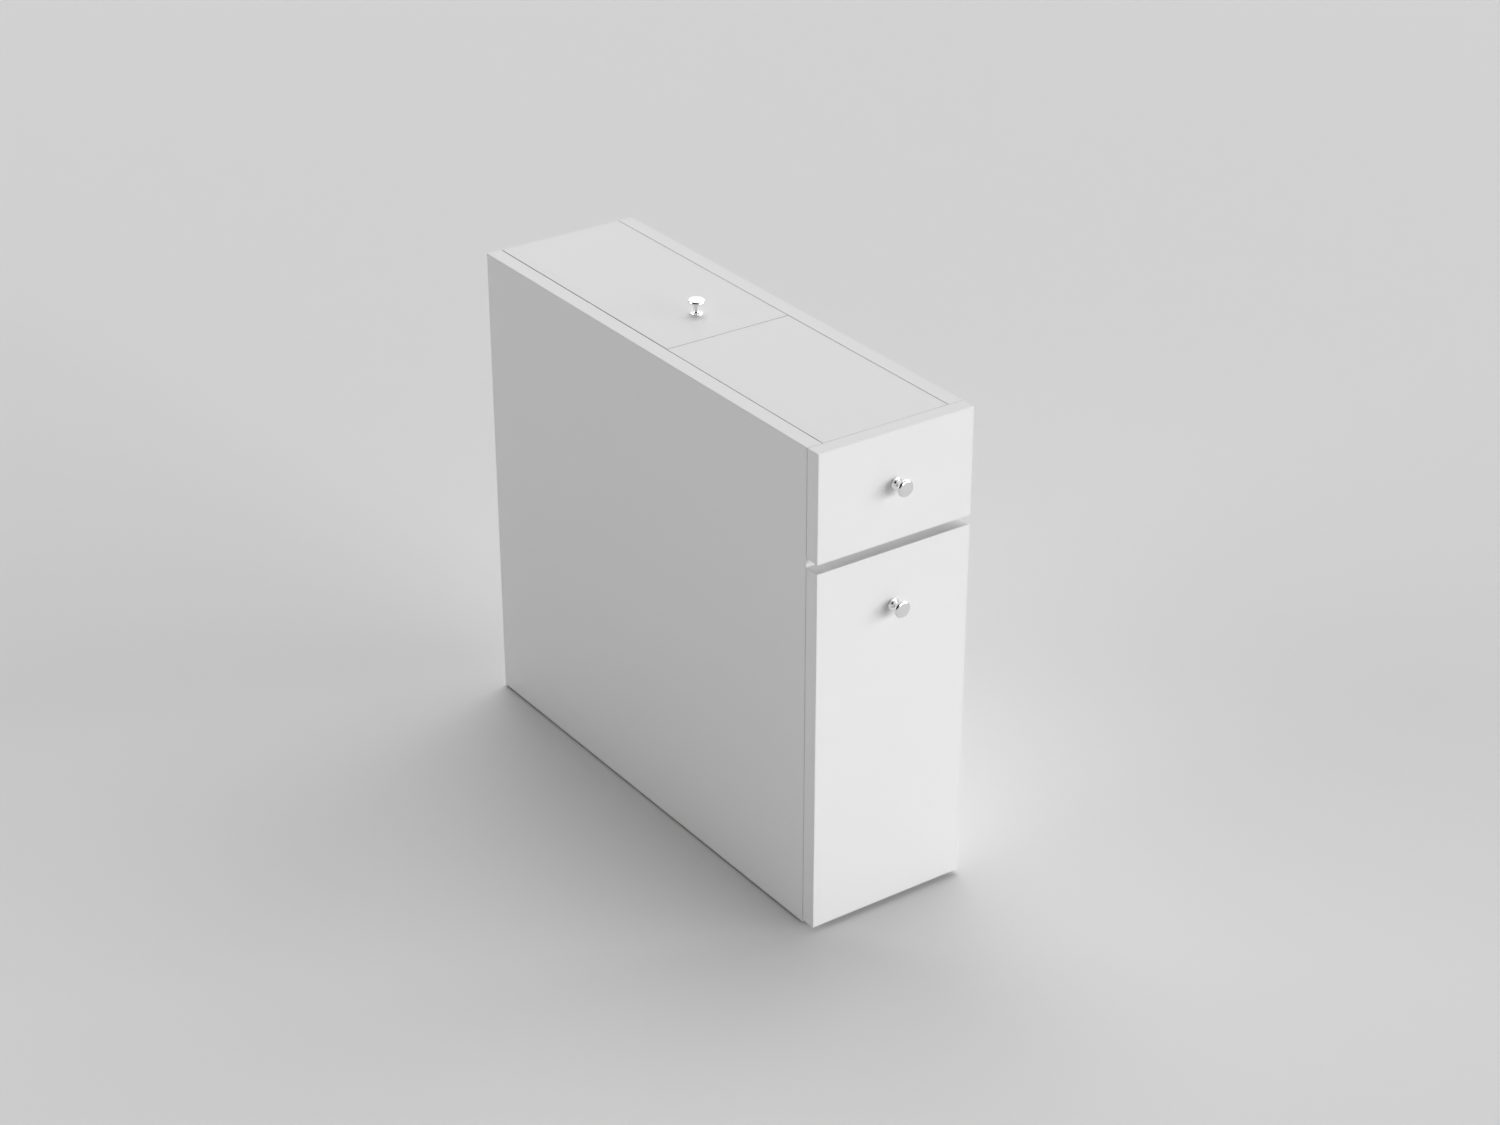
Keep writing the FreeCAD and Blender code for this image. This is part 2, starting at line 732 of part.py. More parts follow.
def side_panel(side_name, joints, boxes):
    """One side, drilled for every board, runner, pivot and glide it carries."""
    side = SIDES[side_name]
    inner = f"{side} * {HALF_INNER}"
    outer = f"{side} * {HALF_WIDTH}"
    low_x, high_x = (outer, inner) if side < 0 else (inner, outer)
    body = board(f"side_panel_{side_name}", "x", (low_x, "0", "glide_height"),
                 (high_x, "side_depth", "cabinet_height"), "board_edge_radius")
    cams = [joint.point(station) for joint in joints for station in joint.cams]
    dowels = [joint.point(station) for joint in joints for station in joint.dowels]
    screws = [point for box in boxes for point in box.cabinet_screw_points()]
    bore(body, "x", inner, side, cams, "bolt_thread_diameter + 2 * fixed_clearance",
         "bolt_thread_length + hole_clearance")
    bore(body, "x", inner, side, dowels, "dowel_diameter", "dowel_seat")
    bore(body, "x", inner, side, screws, "short_screw_diameter + 2 * fixed_clearance",
         "short_screw_length - runner_sheet + hole_clearance")
    bore(body, "x", inner, side, [(LID_PIN_DEPTH, TOP_MIDDLE)],
         "lid_pin_diameter + 2 * fixed_clearance", "lid_pin_seat")
    nails = [(f"{side} * ({HALF_WIDTH} - board_thickness / 2)", depth) for depth in glide_depths()]
    bore(body, "z", "glide_height", 1, nails, "glide_nail_diameter + 2 * fixed_clearance",
         "glide_nail_length + hole_clearance")
    place(body)


def carcass(boxes):
    """The fixed part of the cabinet."""
    joints = [top_panel(), drawer_shelf(), bottom_panel(), back_panel(), divider_panel()]
    for side_name in SIDES:
        side_panel(side_name, joints, boxes)
    for joint in joints:
        place(joint.piece)
    lid_rest_batten()
    bolts = [where for joint in joints for where in joint.end_seats(joint.cams)]
    dowels = [where for joint in joints for where in joint.end_seats(joint.dowels)]
    cams = [where for joint in joints for where in joint.cam_seats()]
    large_cam = cam_lock("cam_lock_pattern", "cam_diameter", "cam_length", "board_thickness")
    fastener_group("carcass_cam_locks", large_cam, cams)
    fastener_group("carcass_cam_bolts", cam_bolt("cam_bolt_pattern", "cam_reach"), bolts)
    fastener_group("carcass_dowels", dowel("dowel_pattern", "dowel_diameter"), dowels)
    batten_screws = [seat(x, DIVIDER_FRONT, z, TO_FRONT) for x, z in batten_screw_points()]
    fastener_group("batten_screws", long_screw_pattern, batten_screws)
    bumpers = [
        seat(f"{side} * ({HALF_INNER} - bumper_inset)", "seam_depth + batten_width / 2",
             BATTEN_TOP, UPRIGHT)
        for side in SIDES.values()
    ]
    fastener_group("lid_bumpers", lid_bumper(), bumpers)
    glides = [
        seat(f"{side} * ({HALF_WIDTH} - board_thickness / 2)", depth, "0", UPRIGHT)
        for side in SIDES.values() for depth in glide_depths()
    ]
    fastener_group("floor_glides", floor_glide(), glides)
    runner_screws = [
        seat(f"{side} * ({HALF_INNER} - runner_sheet)", *point, Rotation(Z_AXIS, inward(side)))
        for box in boxes for side in SIDES.values() for point in box.cabinet_screw_points()
    ]
    fastener_group("cabinet_runner_screws", short_screw_pattern, runner_screws)
    pins = [
        seat(f"{side} * {HALF_INNER}", LID_PIN_DEPTH, TOP_MIDDLE, Rotation(Z_AXIS, inward(side)))
        for side in SIDES.values()
    ]
    fastener_group("lid_pivot_pins", pivot_pin(), pins)


# Knobs

def knob(name):
    """A turned knob on z 0: foot, waisted neck and flat-faced round head."""
    body = new_body(name)
    base = "(knob_base_diameter / 2)"
    neck = "(knob_neck_diameter / 2)"
    head = "(knob_head_diameter / 2)"
    cove = f"({base} - {neck})"
    flare_top = "(knob_projection - knob_head_round - knob_head_rim - knob_head_undercut)"
    turned(body, [
        ("0", "0"),
        (base, "0"),
        (base, "knob_base_rim"),
        (neck, f"knob_base_rim + {cove}"),
        (neck, f"{flare_top} - knob_flare_radius"),
        (f"{neck} + knob_flare_radius", flare_top),
        (head, f"{flare_top} + knob_head_undercut"),
        (head, "knob_projection - knob_head_round"),
        (f"{head} - knob_head_round", "knob_projection"),
        ("0", "knob_projection"),
    ], {2: (cove, -1), 4: ("knob_flare_radius", -1), 7: ("knob_head_round", 1)})
    bore(body, "z", "0", 1, [("0", "0")], "knob_screw_diameter + 2 * fixed_clearance",
         "knob_screw_length - front_thickness + hole_clearance")
    return body


def knob_screw(name):
    """The machine screw of a knob: head above z 0, shank below."""
    body = new_body(name)
    radius = "knob_screw_diameter / 2"
    head = "(knob_screw_head_diameter / 2)"
    turned(body, [
        ("0", "-knob_screw_length"),
        (radius, "-knob_screw_length"),
        (radius, "0"),
        (head, "0"),
        (head, "knob_screw_head_height / 2"),
        (f"{head} - knob_screw_head_height / 2", "knob_screw_head_height"),
        ("0", "knob_screw_head_height"),
    ], {4: ("knob_screw_head_height / 2", 1)})
    cross_recess(
        body, "knob_screw_head_height",
        "knob_screw_recess_arm", "knob_screw_recess_width", "screw_recess_depth",
    )
    return body


# Lid

def lid():
    """The lift-up rear half of the top, with its knob and pivot bushes."""
    body = board("lid_panel", "z", (LID_LEFT, LID_FRONT, TOP_UNDERSIDE),
                 (LID_RIGHT, "side_depth", "cabinet_height"), "board_edge_radius")
    knob_depth = f"{LID_FRONT} + lid_knob_inset"
    pivot = [(LID_PIN_DEPTH, TOP_MIDDLE)]
    for edge, side in ((LID_LEFT, -1), (LID_RIGHT, 1)):
        bore(body, "x", edge, -side, pivot, "lid_bush_diameter", LID_BUSH_LENGTH)
    bore(body, "z", TOP_UNDERSIDE, 1, [("0", knob_depth)],
         "knob_screw_diameter + 2 * hole_clearance", "board_thickness + overrun")
    place(body)
    place(knob("lid_knob"), y=knob_depth, z="cabinet_height")
    place(knob_screw("lid_knob_screw"), y=knob_depth, z=TOP_UNDERSIDE, turn=UPSIDE_DOWN)
    bushes = [
        seat(edge, LID_PIN_DEPTH, TOP_MIDDLE, Rotation(Z_AXIS, inward(side)))
        for edge, side in ((LID_LEFT, -1), (LID_RIGHT, 1))
    ]
    fastener_group("lid_bushes", pivot_bush(), bushes)


# Drawers

class DrawerBox:
    """A box on roller runners behind one front."""

    def __init__(self, name, low, top, front_low, front_top, knob_height):
        self.name = name
        self.low = low
        self.top = top
        self.front_low = front_low
        self.front_top = front_top
        self.knob_height = knob_height
        self.cams = []
        self.dowels = []
        self.screws = self.heights(BOX_SCREW_SHARES)
        self.groove_low = f"({low} + box_groove_rise)"
        self.groove_top = f"({self.groove_low} + box_bottom_sheet + box_groove_clearance)"
        self.front_axle = f"({low} + {LIP_LOW} - rolling_gap - {FRONT_ROLLER_RADIUS})"
        self.rear_axle = f"({low} + rolling_gap + {REAR_ROLLER_RADIUS})"

    def heights(self, shares):
        """Heights of fittings, from their shares of the height of the sides."""
        return [f"({self.low} + {share} * ({self.top} - {self.low}))" for share in shares]

    def fit(self, cam_shares, dowel_shares):
        """Set the heights of the fittings that hold the sides to the front."""
        self.cams = self.heights(cam_shares)
        self.dowels = self.heights(dowel_shares)

    def build(self):
        """Make every piece of the box, its runners and its rollers."""
        self.front()
        for side_name, side in SIDES.items():
            self.side(side_name, side)
            self.box_runner(side_name, side)
            self.cabinet_runner(side_name, side)
            self.front_roller(side_name, side)
            self.rear_roller(side_name, side)
        self.back()
        self.bottom()
        self.fasteners()

    def cabinet_screw_points(self):
        """Depth and height of the screws that hold a runner to its side panel."""
        front = "(runner_setback + runner_screw_front)"
        height = f"({self.low} + runner_channel_height / 2)"
        return [(front, height), (f"({front} + runner_screw_pitch)", height)]

    def side_centres(self, heights):
        """Width and height of fittings in the thickness of the box's sides."""
        return [
            (f"{side} * {BOX_SIDE_MIDDLE}", height) for side in SIDES.values() for height in heights
        ]

    def front(self):
        """The front board, with its knob."""
        body = board(f"{self.name}_front", "y", (f"-{HALF_WIDTH}", FRONT_FACE, self.front_low),
                     (HALF_WIDTH, FRONT_BACK, self.front_top), "board_edge_radius")
        bore(body, "y", FRONT_BACK, -1, self.side_centres(self.cams),
             "bolt_thread_diameter + 2 * fixed_clearance", "bolt_thread_length + hole_clearance")
        bore(body, "y", FRONT_BACK, -1, self.side_centres(self.dowels),
             "small_dowel_diameter", "dowel_seat")
        bore(body, "y", FRONT_BACK, -1, [("0", self.knob_height)],
             "knob_screw_diameter + 2 * hole_clearance", "front_thickness + overrun")
        groove_half = f"({BOX_INNER_HALF} + box_groove_depth)"
        groove = rectangle((f"-{groove_half}", self.groove_low), (groove_half, self.groove_top))
        pocket(body, "y", outline(body, "y", FRONT_BACK, groove), "box_groove_depth", -1)
        place(body)
        place(knob(f"{self.name}_knob"), y=FRONT_FACE, z=self.knob_height, turn=TO_FRONT)
        place(knob_screw(f"{self.name}_knob_screw"), y=FRONT_BACK, z=self.knob_height, turn=TO_REAR)

    def side(self, side_name, side):
        """One side, grooved for the bottom and drilled for its fittings."""
        inner = f"{side} * {BOX_INNER_HALF}"
        outer = f"{side} * {BOX_HALF}"
        low_x, high_x = (outer, inner) if side < 0 else (inner, outer)
        body = board(f"{self.name}_side_{side_name}", "x", (low_x, FRONT_BACK, self.low),
                     (high_x, BOX_REAR, self.top), "box_edge_radius")
        groove = rectangle((f"{FRONT_BACK} - overrun", self.groove_low),
                           (f"{BOX_REAR} + overrun", self.groove_top))
        pocket(body, "x", outline(body, "x", inner, groove), "box_groove_depth", side)
        middle = f"{side} * {BOX_SIDE_MIDDLE}"
        bore(body, "y", FRONT_BACK, 1, [(middle, height) for height in self.cams],
             "bolt_collar_diameter + 2 * hole_clearance", "small_cam_reach")
        bore(body, "y", FRONT_BACK, 1, [(middle, height) for height in self.dowels],
             "small_dowel_diameter", "dowel_length - dowel_seat")
        bore(body, "x", inner, side, self.cam_points(), "small_cam_diameter",
             "cam_recess + small_cam_length + hole_clearance")
        corners = [(BOX_BACK_MIDDLE, height) for height in self.screws]
        bore(body, "x", outer, -side, corners, "long_screw_head_diameter + 2 * fixed_clearance",
             "long_screw_head_height")
        bore(body, "x", outer, -side, corners, "long_screw_diameter + 2 * fixed_clearance",
             "box_side_thickness + overrun")
        bore(body, "z", self.low, 1, self.flange_screw_points(side),
             "short_screw_diameter + 2 * fixed_clearance",
             "short_screw_length - runner_sheet + hole_clearance")
        place(body)

    def cam_points(self):
        """Depth and height of the cams in the box's sides."""
        return [(f"{FRONT_BACK} + small_cam_reach", height) for height in self.cams]

    def flange_screw_points(self, side):
        """Width and depth of the screws that hold one runner under the box."""
        front = f"({FRONT_BACK} + runner_screw_front)"
        across = f"{side} * ({BOX_HALF} - (box_side_thickness - box_groove_depth) / 2)"
        return [(across, front), (across, f"({front} + runner_screw_pitch)")]

    def bottom_screw_points(self):
        """Width and depth of the screws that hold the bottom to the back."""
        return [
            (f"{side} * ({BOX_INNER_HALF} - box_bottom_screw_inset)", BOX_BACK_MIDDLE)
            for side in SIDES.values()
        ]

    def back(self):
        """The back, standing on the bottom between the sides."""
        low = f"({self.groove_low} + box_bottom_sheet)"
        body = board(f"{self.name}_back", "y",
                     (f"-{BOX_INNER_HALF}", f"{BOX_REAR} - box_side_thickness", low),
                     (BOX_INNER_HALF, BOX_REAR, self.top), "box_edge_radius")
        corners = [(BOX_BACK_MIDDLE, height) for height in self.screws]
        for side in SIDES.values():
            bore(body, "x", f"{side} * {BOX_INNER_HALF}", -side, corners,
                 "long_screw_diameter + 2 * fixed_clearance",
                 "long_screw_length - box_side_thickness + hole_clearance")
        bore(body, "z", low, 1, self.bottom_screw_points(),
             "short_screw_diameter + 2 * fixed_clearance",
             "short_screw_length - box_bottom_sheet + hole_clearance")
        place(body)

    def bottom(self):
        """The thin bottom in its grooves, screwed up into the back."""
        edge = f"({BOX_INNER_HALF} + box_groove_depth - box_groove_clearance)"
        front = f"({FRONT_BACK} - box_groove_depth + box_groove_clearance)"
        body = board(f"{self.name}_bottom", "z", (f"-{edge}", front, self.groove_low),
                     (edge, BOX_REAR, f"{self.groove_low} + box_bottom_sheet"))
        bore(body, "z", self.groove_low, 1, self.bottom_screw_points(),
             "short_screw_diameter + 2 * fixed_clearance", "box_bottom_sheet + overrun")
        place(body)

    def cabinet_runner(self, side_name, side):
        """The channel on the side panel, open to the box, with the front axle."""
        body = new_body(f"cabinet_runner_{self.name}_{side_name}")
        web_outer = from_side(side, "0")
        web_inner = from_side(side, "runner_sheet")
        reach = from_side(side, CHANNEL_REACH)
        low = f"({self.low} - runner_sheet)"
        top = f"({self.low} + runner_channel_height)"
        section = [
            (web_outer, low),
            (reach, low),
            (reach, self.low),
            (web_inner, self.low),
            (web_inner, top),
            (reach, top),
            (reach, f"{top} + runner_sheet"),
            (web_outer, f"{top} + runner_sheet"),
        ]
        pad(body, "y", outline(body, "y", "runner_setback", section), RUNNER_LENGTH)
        collar = f"({ROLLER_START} - roller_side_gap - runner_sheet)"
        self.axle(body, web_inner, -side, (FRONT_ROLLER_DEPTH, self.front_axle), collar)
        bore(body, "x", web_outer, -side, self.cabinet_screw_points(),
             "short_screw_diameter + 2 * hole_clearance", "runner_sheet + overrun")
        place(body)

    def box_runner(self, side_name, side):
        """The profile on the box: flange below, web beside, lip over the roller."""
        body = new_body(f"{self.name}_runner_{side_name}")
        flange_edge = from_side(side, "runner_space + box_side_thickness")
        web_inner = from_side(side, "runner_space")
        web_outer = from_side(side, WEB_REACH)
        lip_tip = from_side(side, LIP_REACH)
        flange_low = f"({self.low} - runner_sheet)"
        lip_low = f"({self.low} + {LIP_LOW})"
        lip_top = f"({lip_low} + runner_sheet)"
        section = [
            (flange_edge, flange_low),
            (flange_edge, self.low),
            (web_inner, self.low),
            (web_inner, lip_top),
            (lip_tip, lip_top),
            (lip_tip, lip_low),
            (web_outer, lip_low),
            (web_outer, flange_low),
        ]
        pad(body, "y", outline(body, "y", FRONT_BACK, section), BOX_LENGTH)
        notch = rectangle(
            (web_outer, f"{REAR_ROLLER_DEPTH} - {REAR_ROLLER_RADIUS} - roller_notch_clearance"),
            (from_side(side, "0"), f"{BOX_REAR} + overrun"),
        )
        pocket(body, "z", outline(body, "z", f"{lip_top} + overrun", notch),
               "runner_sheet + 2 * overrun", -1)
        centre = (REAR_ROLLER_DEPTH, self.rear_axle)
        self.axle(body, web_outer, side, centre, "roller_collar")
        bore(body, "z", flange_low, 1, self.flange_screw_points(side),
             "short_screw_diameter + 2 * hole_clearance", "runner_sheet + fixed_clearance")
        place(body)

    def axle(self, body, at, toward, centre, collar):
        """The riveted axle of a roller: collar, journal and head."""
        post(body, "x", at, toward, centre, [
            ("axle_head_diameter", collar),
            ("axle_diameter", f"{ROLLER_WIDTH} + 2 * roller_side_gap"),
            ("axle_head_diameter", "axle_head_length"),
        ])

    def roller(self, name, side, depth, height, radius):
        """One nylon roller on its axle."""
        body = new_body(name)
        start = from_side(side, ROLLER_START)
        disc = circles(body, "x", start, [(depth, height)], f"2 * ({radius})")
        rim = pad(body, "x", disc, ROLLER_WIDTH, -side)
        round_edges(body, rim, "roller_edge_radius")
        bore(body, "x", f"{start} + {side} * overrun", -side, [(depth, height)],
             "axle_diameter + 2 * running_clearance", f"{ROLLER_WIDTH} + 2 * overrun")
        place(body)

    def front_roller(self, side_name, side):
        """The roller that the box's lip rides on."""
        self.roller(f"front_roller_{self.name}_{side_name}", side,
                    FRONT_ROLLER_DEPTH, self.front_axle, FRONT_ROLLER_RADIUS)

    def rear_roller(self, side_name, side):
        """The roller that runs in the cabinet's channel."""
        self.roller(f"rear_roller_{self.name}_{side_name}", side,
                    REAR_ROLLER_DEPTH, self.rear_axle, REAR_ROLLER_RADIUS)

    def fasteners(self):
        """The fittings that hold the box together."""
        bolts = [seat(x, FRONT_BACK, z, TO_REAR) for x, z in self.side_centres(self.cams)]
        dowels = [seat(x, FRONT_BACK, z, TO_REAR) for x, z in self.side_centres(self.dowels)]
        cams = [
            seat(f"{side} * {BOX_INNER_HALF}", depth, height,
                 Rotation(Y_AXIS, Vector(), inward(side), "ZXY"))
            for side in SIDES.values() for depth, height in self.cam_points()
        ]
        corners = [
            seat(f"{side} * {BOX_HALF}", BOX_BACK_MIDDLE, height,
                 Rotation(Z_AXIS, inward(-side)))
            for side in SIDES.values() for height in self.screws
        ]
        short = [
            seat(x, y, f"{self.low} - runner_sheet", UPSIDE_DOWN)
            for side in SIDES.values() for x, y in self.flange_screw_points(side)
        ] + [
            seat(x, y, self.groove_low, UPSIDE_DOWN) for x, y in self.bottom_screw_points()
        ]
        fastener_group(f"{self.name}_cam_bolts", small_bolt_pattern, bolts)
        fastener_group(f"{self.name}_dowels", small_dowel_pattern, dowels)
        fastener_group(f"{self.name}_cam_locks", small_cam_pattern, cams)
        fastener_group(f"{self.name}_corner_screws", long_screw_pattern, corners)
        fastener_group(f"{self.name}_short_screws", short_screw_pattern, short)


short_screw_pattern = short_screw()
long_screw_pattern = long_screw()
small_cam_pattern = cam_lock(
    "small_cam_pattern", "small_cam_diameter", "small_cam_length", "box_side_thickness",
)
small_bolt_pattern = cam_bolt("small_bolt_pattern", "small_cam_reach")
small_dowel_pattern = dowel("small_dowel_pattern", "small_dowel_diameter")

drawer = DrawerBox(
    "drawer", f"({SHELF_TOP} + box_rise)", f"({TOP_UNDERSIDE} - drawer_headroom)",
    DRAWER_FRONT_LOW, "cabinet_height", "(cabinet_height - drawer_knob_drop)",
)
drawer.fit(DRAWER_CAM_SHARES, DRAWER_DOWEL_SHARES)
pullout = DrawerBox(
    "pullout", f"({BOTTOM_TOP} + box_rise)", f"({BOTTOM_TOP} + box_rise + pullout_side_height)",
    "pullout_front_clearance", PULLOUT_FRONT_TOP, f"({PULLOUT_FRONT_TOP} - pullout_knob_drop)",
)
pullout.fit(PULLOUT_CAM_SHARES, PULLOUT_DOWEL_SHARES)
carcass([drawer, pullout])
lid()
drawer.build()
pullout.build()
doc.recompute()


def check_features():
    """Stop if a feature failed, or if a cut took nothing away."""
    for thing in doc.Objects:
        if "Invalid" in thing.State or "Error" in thing.State:
            raise RuntimeError(f"{thing.Label} of {thing.Name} failed: {thing.State}")
        if thing.TypeId == "PartDesign::Pocket":
            before = thing.BaseFeature.Shape.Volume
            if thing.Shape.Volume >= before * (1 - 1e-9):
                raise RuntimeError(f"{thing.Name} of {thing.getParent().Label} cuts nothing")


def check_nodes():
    """Stop if a node has no sound solid, or shares its name with another."""
    names = [node.Label for node in nodes]
    if len(set(names)) != len(names):
        raise RuntimeError("two nodes share a name")
    for node in nodes:
        shape = node.Shape
        if shape.isNull() or not shape.isValid() or not shape.Solids:
            raise RuntimeError(f"{node.Label} is not a sound solid")


check_features()
check_nodes()
os.makedirs("parts", exist_ok=True)
for node in nodes:
    node.Shape.exportStep(f"parts/{node.Label}.step")
print(f"{len(nodes)} nodes, {sum(len(node.Shape.Solids) for node in nodes)} solids")
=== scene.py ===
"""Dresses the slim bathroom cabinet for its studio picture.

The white boards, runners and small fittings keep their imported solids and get
finishes with edge bands, moulding texture and plating. The knobs, the rollers
and all repeated fasteners are made again here with their round edges, threads,
flutes and cross recesses, each in the place of the solid that it stands for.
Lengths are in metres.
"""
from __future__ import annotations

import json
import logging
import math
from dataclasses import dataclass, field
from enum import Enum
from typing import Iterable, Sequence

import bmesh
import bpy
from mathutils import Matrix, Vector

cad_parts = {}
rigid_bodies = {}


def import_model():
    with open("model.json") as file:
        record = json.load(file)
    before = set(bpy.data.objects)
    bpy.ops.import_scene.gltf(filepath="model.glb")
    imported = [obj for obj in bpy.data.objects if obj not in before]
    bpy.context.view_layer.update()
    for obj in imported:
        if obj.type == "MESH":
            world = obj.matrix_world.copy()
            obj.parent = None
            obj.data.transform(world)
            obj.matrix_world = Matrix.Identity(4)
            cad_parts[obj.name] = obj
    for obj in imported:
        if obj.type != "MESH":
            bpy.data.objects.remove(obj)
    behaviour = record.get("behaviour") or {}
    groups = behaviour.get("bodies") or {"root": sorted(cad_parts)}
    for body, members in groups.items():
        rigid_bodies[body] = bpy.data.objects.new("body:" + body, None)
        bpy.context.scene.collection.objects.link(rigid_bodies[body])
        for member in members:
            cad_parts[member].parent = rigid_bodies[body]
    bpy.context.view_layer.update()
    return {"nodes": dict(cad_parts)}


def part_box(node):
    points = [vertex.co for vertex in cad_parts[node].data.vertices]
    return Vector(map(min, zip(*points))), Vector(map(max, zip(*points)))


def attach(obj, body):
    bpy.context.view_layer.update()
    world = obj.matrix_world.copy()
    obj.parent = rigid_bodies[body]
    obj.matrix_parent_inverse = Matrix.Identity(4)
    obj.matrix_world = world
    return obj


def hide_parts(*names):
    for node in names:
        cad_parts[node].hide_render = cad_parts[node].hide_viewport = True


log = logging.getLogger("cabinet")

Colour = tuple[float, float, float]
Point = tuple[float, float, float]
Span = tuple[float, float]
Socket = bpy.types.NodeSocket
SocketRow = tuple[tuple[str, str], ...]

MM = 0.001
CREASE = math.radians(32.0)
VECTOR = "NodeSocketVector"
NUMBER = "NodeSocketFloat"
COLOUR = "NodeSocketColor"
GEOMETRY = "NodeSocketGeometry"


class Axis(Enum):
    """The cabinet's three directions: its width, its depth and its height."""

    X = 0
    Y = 1
    Z = 2

    def vector(self, sign: float = 1.0) -> Vector:
        """The unit vector along this axis, or against it for a negative sign.

        Args:
            sign: Positive for along, negative for against.

        Returns:
            The unit vector.
        """
        unit = Vector((0.0, 0.0, 0.0))
        unit[self.value] = math.copysign(1.0, sign)
        return unit


def grey(level: float) -> Colour:
    """A neutral colour of the given linear level."""
    return (level, level, level)


def colour_value(colour: Colour) -> tuple[float, float, float, float]:
    """A colour with full alpha, as sockets take it."""
    return (*colour, 1.0)


def sockets(kind: str, *names: str) -> SocketRow:
    """A row of named group sockets of one kind."""
    return tuple((name, kind) for name in names)


class NodeSketch:
    """A node tree that is laid out one node at a time, left to right."""

    spacing: float = 190.0

    def __init__(self, tree: bpy.types.NodeTree) -> None:
        """Start on a tree, without the nodes that it comes with.

        Args:
            tree: The shader or geometry tree to fill.
        """
        self.tree = tree
        self.column = 0.0
        tree.nodes.clear()

    def add(self, kind: str, inputs: dict | None = None, **settings) -> bpy.types.Node:
        """Add a node, set it up and feed its inputs.

        Args:
            kind: The node's type name.
            inputs: Value or source socket for each input, by name or index.
            settings: Properties of the node, such as its operation.

        Returns:
            The new node.
        """
        node = self.tree.nodes.new(kind)
        node.location = (self.column, 0.0)
        self.column += self.spacing
        for name, setting in settings.items():
            setattr(node, name, setting)
        for key, source in (inputs or {}).items():
            self.feed(node.inputs[key], source)
        return node

    def feed(self, socket: Socket, source: object) -> None:
        """Link a source socket to an input, or set the input's value.

        Args:
            socket: The input.
            source: The socket or the value that it gets.
        """
        if isinstance(source, Socket):
            self.tree.links.new(source, socket)
        else:
            socket.default_value = source

    def maths(self, operation: str, *values: object) -> Socket:
        """The result of a Math node on one to three values or sockets."""
        node = self.add("ShaderNodeMath", dict(enumerate(values)), operation=operation)
        return node.outputs[0]

    def vector(self, operation: str, *values: object) -> Socket:
        """The vector result of a Vector Math node."""
        node = self.add("ShaderNodeVectorMath", dict(enumerate(values)), operation=operation)
        return node.outputs["Vector"]

    def scaled(self, vector: object, factor: object) -> Socket:
        """A vector or colour times a factor."""
        node = self.add("ShaderNodeVectorMath", {0: vector, "Scale": factor}, operation="SCALE")
        return node.outputs["Vector"]

    def dot(self, first: object, second: object) -> Socket:
        """The dot product of two vectors."""
        node = self.add("ShaderNodeVectorMath", {0: first, 1: second}, operation="DOT_PRODUCT")
        return node.outputs["Value"]

    def least(self, vector: object) -> Socket:
        """The smallest of a vector's three parts."""
        parts = self.add("ShaderNodeSeparateXYZ", {0: vector}).outputs
        return self.maths("MINIMUM", self.maths("MINIMUM", parts[0], parts[1]), parts[2])

    def blend(self, share: object, first: object, second: object) -> Socket:
        """Mix two colours by a share from 0 to 1.

        Args:
            share: How much of the second colour there is.
            first: The colour at 0.
            second: The colour at 1.

        Returns:
            The mixed colour.
        """
        node = self.add("ShaderNodeMix", data_type="RGBA")
        for name, source in (("Factor", share), ("A", first), ("B", second)):
            wanted = "VALUE" if name == "Factor" else "RGBA"
            socket = next(s for s in node.inputs if s.name == name and s.type == wanted)
            self.feed(socket, source)
        return next(s for s in node.outputs if s.type == "RGBA")

    def noise(self, place: object, scale: object, **shape: float) -> Socket:
        """Noise from 0 to 1.

        Args:
            place: The position that it is read at.
            scale: How fine it is.
            shape: Its Detail, Roughness and Distortion, where they aren't the usual ones.

        Returns:
            The noise's value.
        """
        return self.add("ShaderNodeTexNoise", {"Vector": place, "Scale": scale, **shape}).outputs[0]

    def rise(self, value: object, span: Span) -> Socket:
        """A smooth step from 0 at the span's start to 1 at its end.

        Args:
            value: What the step follows.
            span: Where it starts and where it ends.

        Returns:
            The step's value.
        """
        node = self.add(
            "ShaderNodeMapRange",
            {"Value": value, "From Min": span[0], "From Max": span[1]},
            interpolation_type="SMOOTHSTEP",
        )
        return node.outputs["Result"]

    def fall(self, value: object, span: Span) -> Socket:
        """A smooth step from 1 at the span's start to 0 at its end."""
        return self.maths("SUBTRACT", 1.0, self.rise(value, span))


class SharedGroup:
    """A node group with named inputs and outputs, built when it is first asked for."""

    title: str = ""
    kind: str = "ShaderNodeTree"
    takes: SocketRow = ()
    gives: SocketRow = ()

    def group(self) -> bpy.types.NodeTree:
        """The node group, made once for the whole scene.

        Returns:
            The group's tree.
        """
        known = bpy.data.node_groups.get(self.title)
        if known is not None:
            return known
        tree = bpy.data.node_groups.new(self.title, self.kind)
        for side, row in (("INPUT", self.takes), ("OUTPUT", self.gives)):
            for name, kind in row:
                tree.interface.new_socket(name=name, in_out=side, socket_type=kind)
        sketch = NodeSketch(tree)
        results = self.draw(sketch, sketch.add("NodeGroupInput").outputs)
        sketch.add("NodeGroupOutput", results)
        return tree

    def draw(self, sketch: NodeSketch, given: bpy.types.bpy_prop_collection) -> dict:
        """Lay out the group's nodes.

        Args:
            sketch: The group's tree.
            given: What the group's inputs bring, by name.

        Returns:
            The source socket of each output, by name.
        """
        raise NotImplementedError


